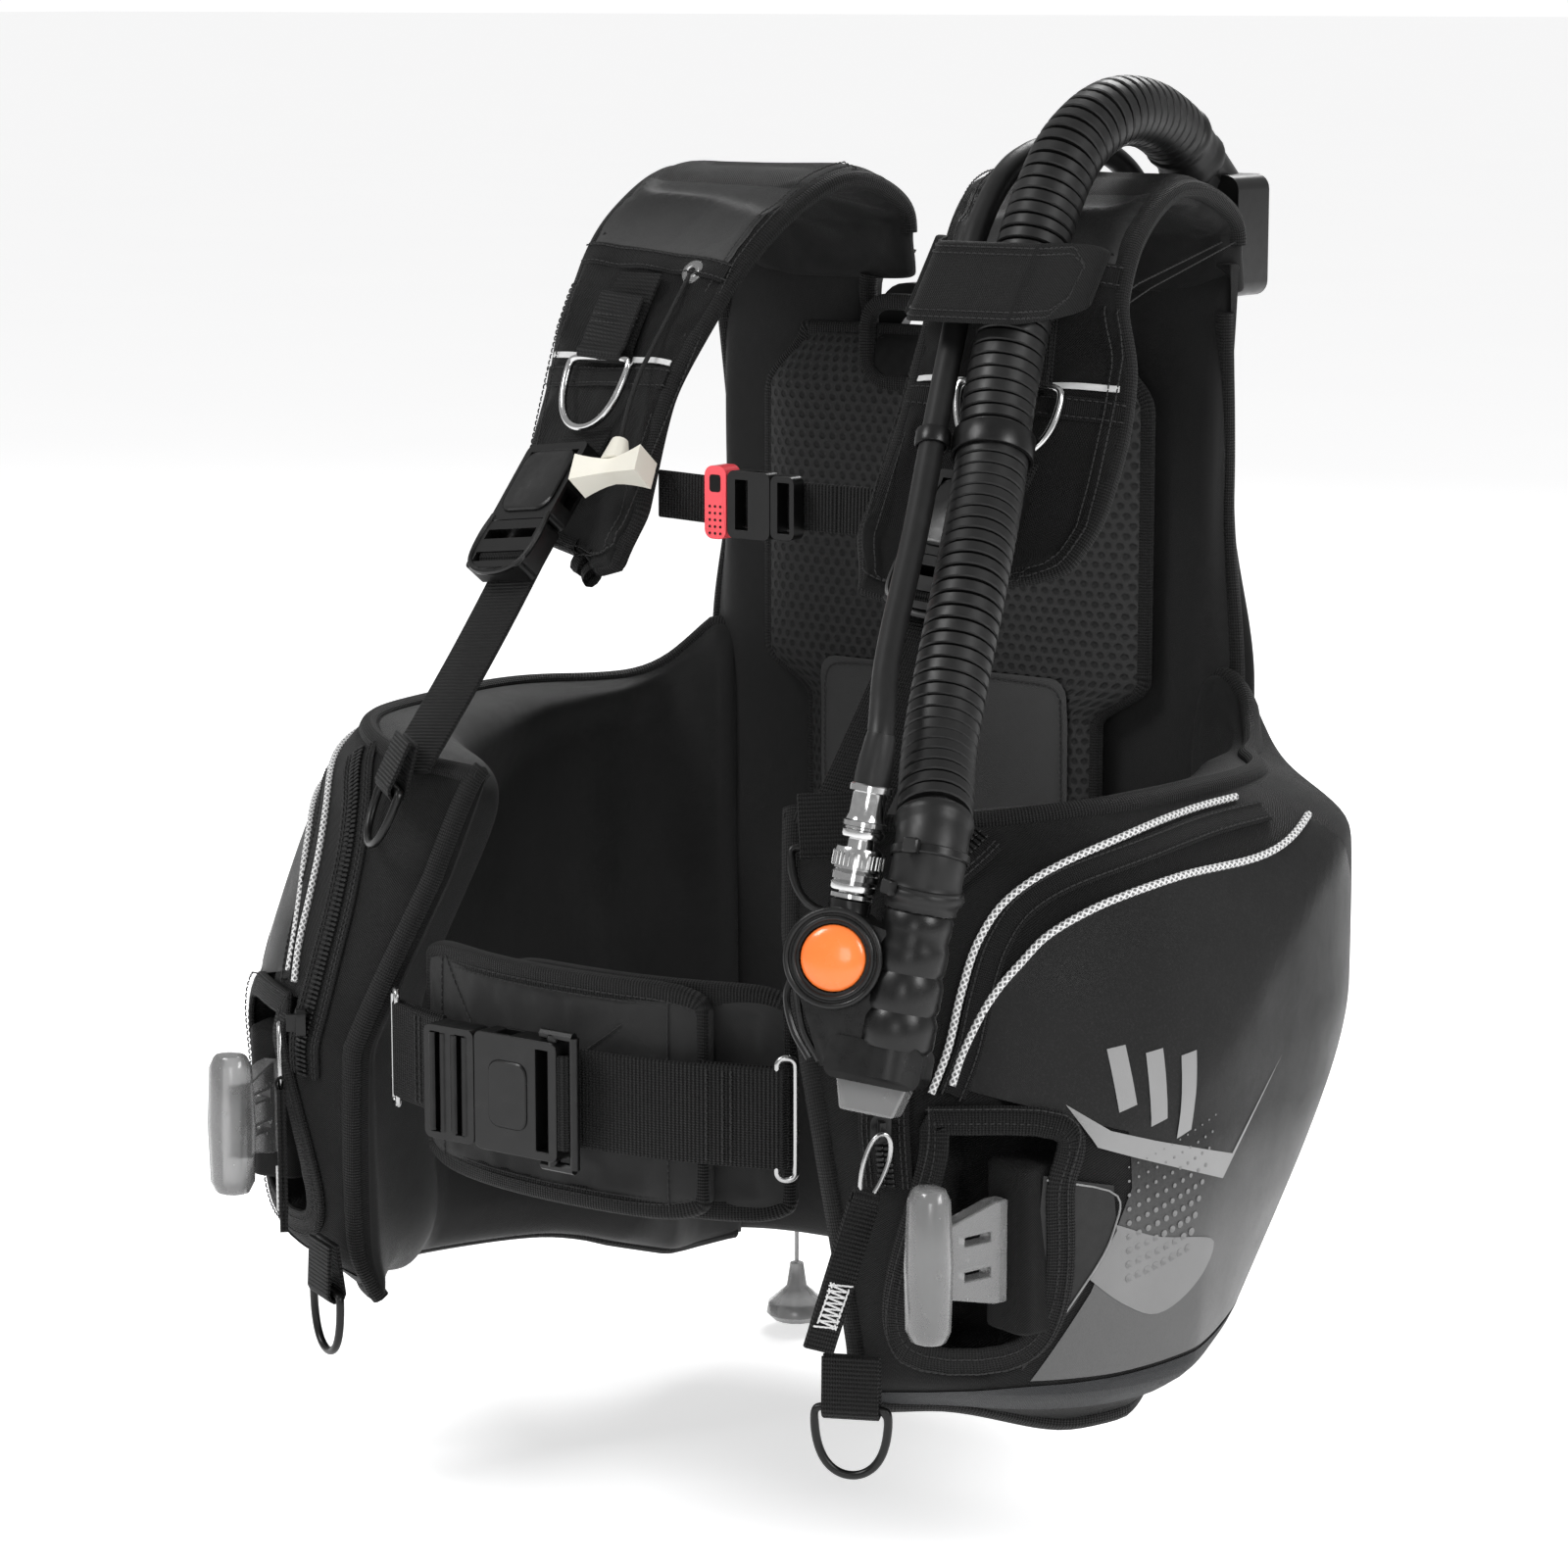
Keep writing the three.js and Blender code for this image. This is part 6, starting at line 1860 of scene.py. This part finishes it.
@dataclass
class Inflator:
    """The inflator, its coupler, the corrugated hose, the elbow and the low-pressure hose."""

    pad: ShoulderPad
    column_x: float = 33.0
    column_foot: float = -50.0
    column_length: float = 78.0
    boss_radius: float = 23.0
    boss_thickness: float = 31.0
    hose_radius: float = 18.0
    rib_pitch: float = 7.0
    supply_radius: float = 6.4
    coupler_length: float = 54.0
    gap: float = 0.4

    def __post_init__(self) -> None:
        """Lays out the axes and the two hose routes."""
        d = TRUNK.half_depth
        self.axes = Axes.of(vec(178, -d - 4, -34), vec(0.927, 0.374, -0.14), vec(0.374, -0.927, 0.2))
        top = self.column_foot + self.column_length
        way = unit(vec(0, -0.78, 0.62))
        inlet = vec(128, d - 4, 317)
        self.route = [self.axes.at(self.column_x, top + self.gap, 0), self.axes.at(self.column_x, top + 30, 0),
                      vec(188, d - 327, 60), vec(171, d - 279, 124), vec(154, d - 237, 170),
                      vec(143, d - 211, 210), vec(137, d - 186, 252), vec(132, d - 159, 294),
                      vec(131, d - 130, 328), vec(132, d - 97, 345), vec(130, d - 58, 345),
                      inlet + way * 26, inlet + way * 1]
        foot = self.boss_radius + 4 + self.gap
        self.coupler_foot = foot
        end = foot + self.coupler_length + self.gap
        self.supply = [self.axes.at(0, end, 0), self.axes.at(0, end + 20, 0), vec(166, d - 340, 95),
                       vec(141, d - 280, 152), vec(122, d - 235, 200), vec(108, d - 198, 244),
                       vec(98, d - 165, 288), vec(94, d - 129, 318), vec(94, d - 93, 328), vec(95, d - 57, 328),
                       vec(97, d - 21, 314), vec(98, d + 5, 284), vec(98, d + 15, 240), vec(98, d + 16, 190),
                       vec(98, d + 16, 150)]

    def supply_hose(self) -> None:
        """The low-pressure hose as a cord, with its end fitting."""
        line = spline(self.supply, 38)
        hose, points = cord_curve("supply_hose", line, self.supply_radius, 5, Finish.RUBBER, "lp_hose")
        fitting = refined("lp_hose_fitting", Finish.CHROME, 0.5)
        relief = Maker("supply_hose_relief")
        a, b = line[0], line[0] + unit(line[1] - line[0]) * 24
        relief.turn(Axes.of(a, vec(1, 0, 0), b - a),
                    [(0, -1), (8.6, -1), (8.8, 3), (8.2, 12), (7, 22), (6.5, 24), (6, 24)], Finish.RUBBER, 20)
        cuff = relief.make(sharp=40)
        fine = spline(self.supply, 400)
        length = lengths(fine)[-1] * MM
        tuple(points[0])

    def main_hose(self) -> None:
        """The corrugated hose: a core, its ribs, a cuff with two ties, and the clip for the other hose."""
        line = spline(self.route, 300)
        s = lengths(line)
        total = s[-1]

        def part(start: float, end: float, count: int) -> Line:
            """A stretch of the route."""
            at = np.linspace(start, end, count)
            return np.stack([np.interp(at, s, line[:, k]) for k in range(3)], 1)
        side = np.array([unit(np.cross(t, self.axes.z)) for t in directions(part(0, total, 300))])
        core = Maker("hose_core")
        core.sweep(part(30, total - 10, 200), carried(part(30, total - 10, 200), side[0]),
                   circle(self.hose_radius - 3.6, 24), Finish.RUBBER)
        cuff = part(0, 46, 24)
        size = [17, 17, 17.5, 19, 19.6, 19, 17.6] + [17.2] * 12 + [17.4, 18.6, 19, 18.6, 16]
        core.sweep(cuff, carried(cuff, side[0]), circle(1, 28), Finish.RUBBER, np.array(size))
        end = part(total - 26, total, 12)
        core.sweep(end, carried(end, side[0]), circle(1, 28), Finish.RUBBER,
                   np.array([16, 18.4, 18.8, 18.4, 17.6, 17.4, 17.4, 17.4, 17.4, 18.4, 18.6, 18]))
        piece = core.make(sharp=50)
        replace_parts(piece, "corrugated_hose")
        shape = Maker("rib")
        t = np.arange(26) * 2 * math.pi / 26
        ring = np.stack([0 * t, np.cos(t), np.sin(t)], 1)
        profile = [(-2.9, -3.4), (-3.0, -0.7), (-2.4, 0), (2.4, 0), (3.0, -0.7), (2.9, -3.4)]
        grid = np.array([ring * (self.hose_radius + r) + (x, 0, 0) for x, r in profile])
        shape.patch(grid, Finish.RUBBER)
        shape.add(np.concatenate([grid[0], grid[-1]]), [tuple(range(26)), tuple(range(51, 25, -1))],
                  Finish.RUBBER)
        ribs = part(50, total - 30, 160)
        Repeat(stamp(shape), self.rib_pitch, Finish.RUBBER).along(
            "hose_ribs", [(ribs, carried(ribs, side[0]))])
        ties = Maker("hose_ties")
        for at, lean in ((10, 0.15), (26, -0.3)):
            spot = part(at, at + 1, 2)
            way = unit(spot[1] - spot[0])
            a = Axes.of(spot[0], unit(self.axes.z * 0.8 - self.axes.x * (0.5 + lean)), way)
            ties.sweep(hoop(a, 18, 40), way, rounded(4.4, 1.5, 0.6, 1), Finish.ACETAL, ring=True)
            head = Axes(a.at(18.4, 0, 0), a.y, a.z, a.x)
            ties.plate(head, rounded(7.6, 7, 1, 2), 4.6, Finish.ACETAL, 0.8)
        ties.make(sharp=35)
        clip = Maker("hose_clip")
        spot = part(262, 263, 2)
        way = unit(spot[1] - spot[0])
        supply = spline(self.supply, 400)
        beside = supply[np.argmin(np.linalg.norm(supply - spot[0], axis=1))]
        across = beside - spot[0]
        a = Axes.of(spot[0], across, way)
        gap = np.dot(across, a.x)
        r, q = self.hose_radius + 1.4, self.supply_radius + 1.4
        clip.sweep(hoop(a, r, 40), way, rounded(13, 2.4, 1, 2), Finish.ACETAL, ring=True)
        clip.sweep(hoop(a, q, 24, gap), way, rounded(9, 2.2, 1, 2), Finish.ACETAL, ring=True)
        clip.make(sharp=40)

    def body(self) -> None:
        """The inflator's housing with its rims, ridges and steps, the buttons and the coupler."""
        refined("inflator_body", Finish.INFLATOR, 2.2)
        a = self.axes
        more = Maker("inflator_details")
        face = a.moved(0, 0, self.boss_thickness / 2)
        for r, bar in ((22.2, 1.5), (18.6, 1.3)):
            more.tube(hoop(face, r, 48, z=-0.2), bar, Finish.INFLATOR, 10, ring=True)
        more.turn(Axes(a.at(self.column_x, self.column_foot + 14, 0), a.x, -a.z, a.y),
                  [(16.4, 0), (17.8, 2), (17.8, 13), (16.2, 17), (17.4, 20), (17.4, 31), (15.8, 35), (17, 38),
                   (17, 47), (15.6, 51), (16.4, 55), (16.4, 62), (15, 64)], Finish.INFLATOR, 32)
        for k in (0, 5):
            ridge = spline([a.at(-17 - k * 0.4, -8, 10), a.at(-20 + k, -20, 9), a.at(-14 + k, -36, 9),
                            a.at(-4 + k, -48, 9)], 20)
            more.tube(ridge, 1.7, Finish.INFLATOR, 8)
        more.make(sharp=40)
        dome = Maker("inflate_dome")
        r = 15.6
        base = self.boss_thickness / 2 - 8.5
        dome.turn(a.moved(0, 0, base),
                  [(0, -2), (r, -2), (r, 7)] + [(r * math.cos(t), 7 + 4.8 * math.sin(t)) for t in
                                               np.linspace(0.12, 1.5, 9)] + [(0.01, 11.8)], Finish.ORANGE, 40)
        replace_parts(dome.make("inflate_button", sharp=60), "inflate_button")
        refined("deflate_button", Finish.SMOKE, 1.6)
        foot = Axes(a.at(0, self.coupler_foot, 0), a.x, -a.z, a.y)
        lower = Maker("coupler")
        lower.turn(foot, [(0, 0), (10, 0), (10.6, 0.6), (10.6, 2.6), (7, 3), (6.6, 4), (6.6, 28), (10, 29),
                          (10.4, 30), (10.4, 32.2), (9.2, 32.8), (9.2, 33.6), (10.4, 34.2),
                          (10.4, 36.4), (9.2, 37), (8.2, 40), (8.2, 50),
                          (10.2, 50.6), (10.2, 53.4), (9.4, 54), (0, 54)], Finish.CHROME, 36)
        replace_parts(lower.make(sharp=35), "coupler_body")
        sleeve = Maker("coupler_grip")
        sleeve.turn(foot, [(7.2, 4), (11, 4), (11.4, 4.8), (11.4, 7), (10.4, 8), (11.4, 9), (11.4, 12),
                           (10.4, 13), (11.4, 14), (11.4, 22.6), (10.8, 24), (7.2, 24), (7.2, 4)],
                    Finish.CHROME, 36)
        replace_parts(sleeve.make("coupler_sleeve", sharp=35), "coupler_sleeve")
        t = np.linspace(0, 2 * math.pi, 60)
        rim = np.array([foot.at(11.3 * math.cos(k), 11.3 * math.sin(k), 18.4) for k in t])
        ridge = Maker("knurl_ridge")
        upright = Axes(vec(0, 0, 0), HOME.y, HOME.x, HOME.z)
        ridge.plate(upright, rounded(7, 1.2, 0.4, 1), 0.8, Finish.CHROME, 0.25)
        Repeat(stamp(ridge), 2.5, Finish.CHROME).along(
            "coupler_knurl", [(rim, rim - rim.mean(0))], "coupler_sleeve")

    def build(self) -> None:
        """Makes all of it but the low-pressure hose, which is made first."""
        self.main_hose()
        self.body()
        refined("hose_elbow", Finish.ACETAL, 2.2)
        self.keeper()

    def keeper(self) -> None:
        """The flap of cloth that holds both hoses on the pad."""
        d = TRUNK.half_depth

        def at(u: float, v: float, lift: float) -> Point:
            """A point of the flap."""
            x = mix(66, 166, u)
            on_hose = between(u, 0.02, 0.34) * between(u, 1, 0.86)
            along = (v - 0.5) * 48
            front = mix(d - 166 + 0.12 * (x - 66), d - 211 + 0.1 * (x - 66), on_hose)
            return vec(x, front + along * 0.6 - lift, 266 + along * 0.8)

        def point(u: float, v: float, outside: bool) -> Point:
            """A point of one sheet, narrower towards the flap's free end."""
            share = 1 - 0.35 * max(0, (u - 0.86) / 0.14) ** 3
            return at(u, 0.5 + (v - 0.5) * share, 3.4 if outside else 0.2)
        shell = Shell.of(eased(44, 0.3), eased(16, 0.3), point)
        maker = Maker("keeper_flap")
        shell.onto(maker, Finish.TAPE, Finish.TAPE)
        piece = maker.make(sharp=60, smooth=1)
        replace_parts(piece, "hose_keeper")
        lines = []
        for inset in (0.07, 0.15):
            pts = [(t, inset) for t in np.linspace(0.04, 0.93, 20)] + [(0.95, 0.3), (0.955, 0.7)] + [
                (t, 1 - inset) for t in np.linspace(0.93, 0.04, 20)]
            lines.append((np.array([at(u, v, 3.5) for u, v in pts]), vec(0, -0.9, 0.4)))
        stitches("keeper_stitches", lines)


@dataclass
class Pulls:
    """The weight handles and pouches, the zip pulls and the dump cords with their knobs."""

    pad: ShoulderPad

    def dump_cord(self) -> None:
        """The cord of the right shoulder's dump valve, with its eyelet and knob."""
        route = [self.pad.on(mix(0.49, 0.8, t), mix(-32, -50, t), mix(2, 13, t)).place
                 for t in (0, 0.2, 0.4, 0.6, 0.8)] + [self.pad.on(0.81, -51, 14).place]
        line = spline(route, 18) * (-1, 1, 1)
        cord, points = cord_curve("dump_cord", line, 1.3, 3, Finish.BLACK_CORD, "shoulder_dump_cord")
        knob = refined("shoulder_dump_knob", Finish.CREAM, 0.8)
        eyelet = Maker("dump_eyelet", -1)
        a = self.pad.on(0.485, -32, 0.6)
        eyelet.turn(Axes.of(a.place, a.x, a.z), [(2, 0.6), (2, 1.6), (3.2, 2.2), (6.4, 1.6), (7.2, 0.2),
                                                 (6.6, -0.6), (2, -0.6), (2, 0.6)], Finish.SMOKE, 24)
        eyelet.make(sharp=50)
        length = lengths(line)[-1] * MM
        tuple(points[0])

    def zip_pull(self, side: int, tag: str) -> None:
        """A zip pull: a wire loop through the slider and a folded webbing tab."""
        spot = TRUNK.skin(133.5, -120, 0)
        out = unit(TRUNK.skin(133.5, -120, -20) - spot)
        face = Axes.of(spot + out * 11, vec(-out[1], out[0], 0), out)
        lean = math.radians(-17)
        down = face.x * math.sin(lean) - face.y * math.cos(lean)
        a = Axes(face.place, np.cross(-down, face.z), down, face.z)
        maker = Maker("zip_tab_" + tag, side)
        t = np.linspace(0, 2 * math.pi, 41)[:-1]
        wire = np.array([a.at(5.6 * math.sin(k) * (1 + 0.25 * math.cos(k)), 17 - 17 * math.cos(k), 0)
                         for k in t])
        maker.tube(wire, 1.3, Finish.WIRE, 8, ring=True)
        tab = [a.at(0, y, z) for y, z in ((36, 1.2), (31, 2.6), (28.6, 0), (31, -2.6), (36, -1.2))]
        maker.sweep(spline(tab, 16), a.x, strap_section(13, 1.6), Finish.WEB)
        for z in (1.25, -1.25):
            strip = np.array([a.at(0, y, z * (1 - 0.25 * (y > 100))) for y in np.linspace(35, 108, 20)])
            maker.sweep(strip, a.x, strap_section(15, 2.2), Finish.WEB)
        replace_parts(maker.make("zip_pull_" + tag, sharp=50), "zip_pull_" + tag)
        zig = np.array([a.at(5 * (-1) ** k, 74 + k * 1.5, 2.6) for k in range(16)])
        Repeat(stitch_shape(2.6, 0.5), 2.2, Finish.LINE).along(
            "zip_tack_" + tag, [(zig, a.z)], "zip_pull_" + tag, side)

    def build(self) -> None:
        """Makes the weights' pieces and the zip pulls."""
        refined("rear_dump_knob", Finish.SMOKE, 1.0, 40)
        for side, tag in SIDES:
            refined("weight_handle_" + tag, Finish.SMOKE, 1.0, 40)
            refined("weight_pouch_" + tag, Finish.CORDURA, 2.0)
            refined("zip_slider_" + tag, Finish.ACETAL, 0.6)
            self.zip_pull(side, tag)


# ---------------------------------------------------------------- the room
@dataclass(frozen=True)
class Studio:
    """The floor, the lights and the camera."""

    azimuth: float = 36.2
    elevation: float = 10.2
    distance: float = 2.3
    lens: float = 101.25
    floor_height: float = -0.43

    def camera(self) -> None:
        """Places the camera."""
        a, e = math.radians(self.azimuth), math.radians(self.elevation)
        back = Vector((math.sin(a) * math.cos(e), -math.cos(a) * math.cos(e), math.sin(e)))
        data = bpy.data.cameras.new("camera")
        data.lens, data.sensor_width = self.lens, 36
        camera = bpy.data.objects.new("camera", data)
        camera.matrix_world = (Matrix.Translation(Vector(TRUNK.place([(0, 0, 0)])[0]) + back * self.distance)
                               @ back.to_track_quat("Z", "Y").to_matrix().to_4x4())
        bpy.context.scene.collection.objects.link(camera)
        bpy.context.scene.camera = camera

    def light(self, name: str, place: Vector, size: float, power: float) -> None:
        """Adds a soft square light that points at the vest."""
        data = bpy.data.lights.new(name, "AREA")
        data.shape, data.size, data.energy = "SQUARE", size, power
        lamp = bpy.data.objects.new(name, data)
        lamp.matrix_world = (Matrix.Translation(place)
                             @ (place - Vector((0, -0.18, 0))).to_track_quat("Z", "Y").to_matrix().to_4x4())
        bpy.context.scene.collection.objects.link(lamp)

    def room(self) -> None:
        """Adds the floor and the lights."""
        bpy.context.scene.view_settings.view_transform = "Standard"
        shader = Shader("paper")
        shader.colour((0.86, 0.86, 0.87), (0.9, 0.9, 0.9), shader.noise(0.6))
        shader.set({"Roughness": 0.9, "Emission Color": (1, 1, 1, 1), "Emission Strength": 0.55})
        mesh = bpy.data.meshes.new("floor")
        bm = bmesh.new()
        bmesh.ops.create_grid(bm, x_segments=12, y_segments=12, size=120)
        bm.to_mesh(mesh)
        bm.free()
        mesh.transform(Matrix.Translation((0, 0, self.floor_height)))
        mesh.materials.append(shader.material)
        floor = bpy.data.objects.new("floor", mesh)
        bpy.context.scene.collection.objects.link(floor)
        world = bpy.data.worlds.new("studio")
        world.use_nodes = True
        sky, tree = world.node_tree.nodes["Background"], world.node_tree
        path, level = tree.nodes.new("ShaderNodeLightPath"), tree.nodes.new("ShaderNodeMapRange")
        level.inputs[3].default_value, level.inputs[4].default_value = 0.42, 1.02
        tree.links.new(path.outputs["Is Camera Ray"], level.inputs[0])
        tree.links.new(level.outputs[0], sky.inputs[1])
        sky.inputs[0].default_value = (1, 1, 1, 1)
        bpy.context.scene.world = world
        self.light("key", Vector((-1.4, -2.2, 2.6)), 1.2, 62)
        self.light("side", Vector((2.9, -0.6, 1.5)), 1.2, 46)
        self.light("front", Vector((1.5, -3.0, 0.7)), 0.8, 10)
        self.light("rear", Vector((-0.9, 2.4, 2.3)), 1.4, 60)


def main() -> None:
    logging.basicConfig(level=logging.INFO, format="%(message)s")
    studio = Studio()
    studio.camera()
    pad = ShoulderPad()
    inflator, pulls = Inflator(pad), Pulls(pad)
    inflator.supply_hose()
    pulls.dump_cord()
    pad.build()
    lobe = Lobe()
    lobe.build()
    for side, tag in SIDES:
        lobe.dress(side, tag)
        pad.dress(side, tag)
    Back().build()
    Straps(pad).build()
    inflator.build()
    pulls.build()
    studio.room()


if __name__ == "__main__":
    main()
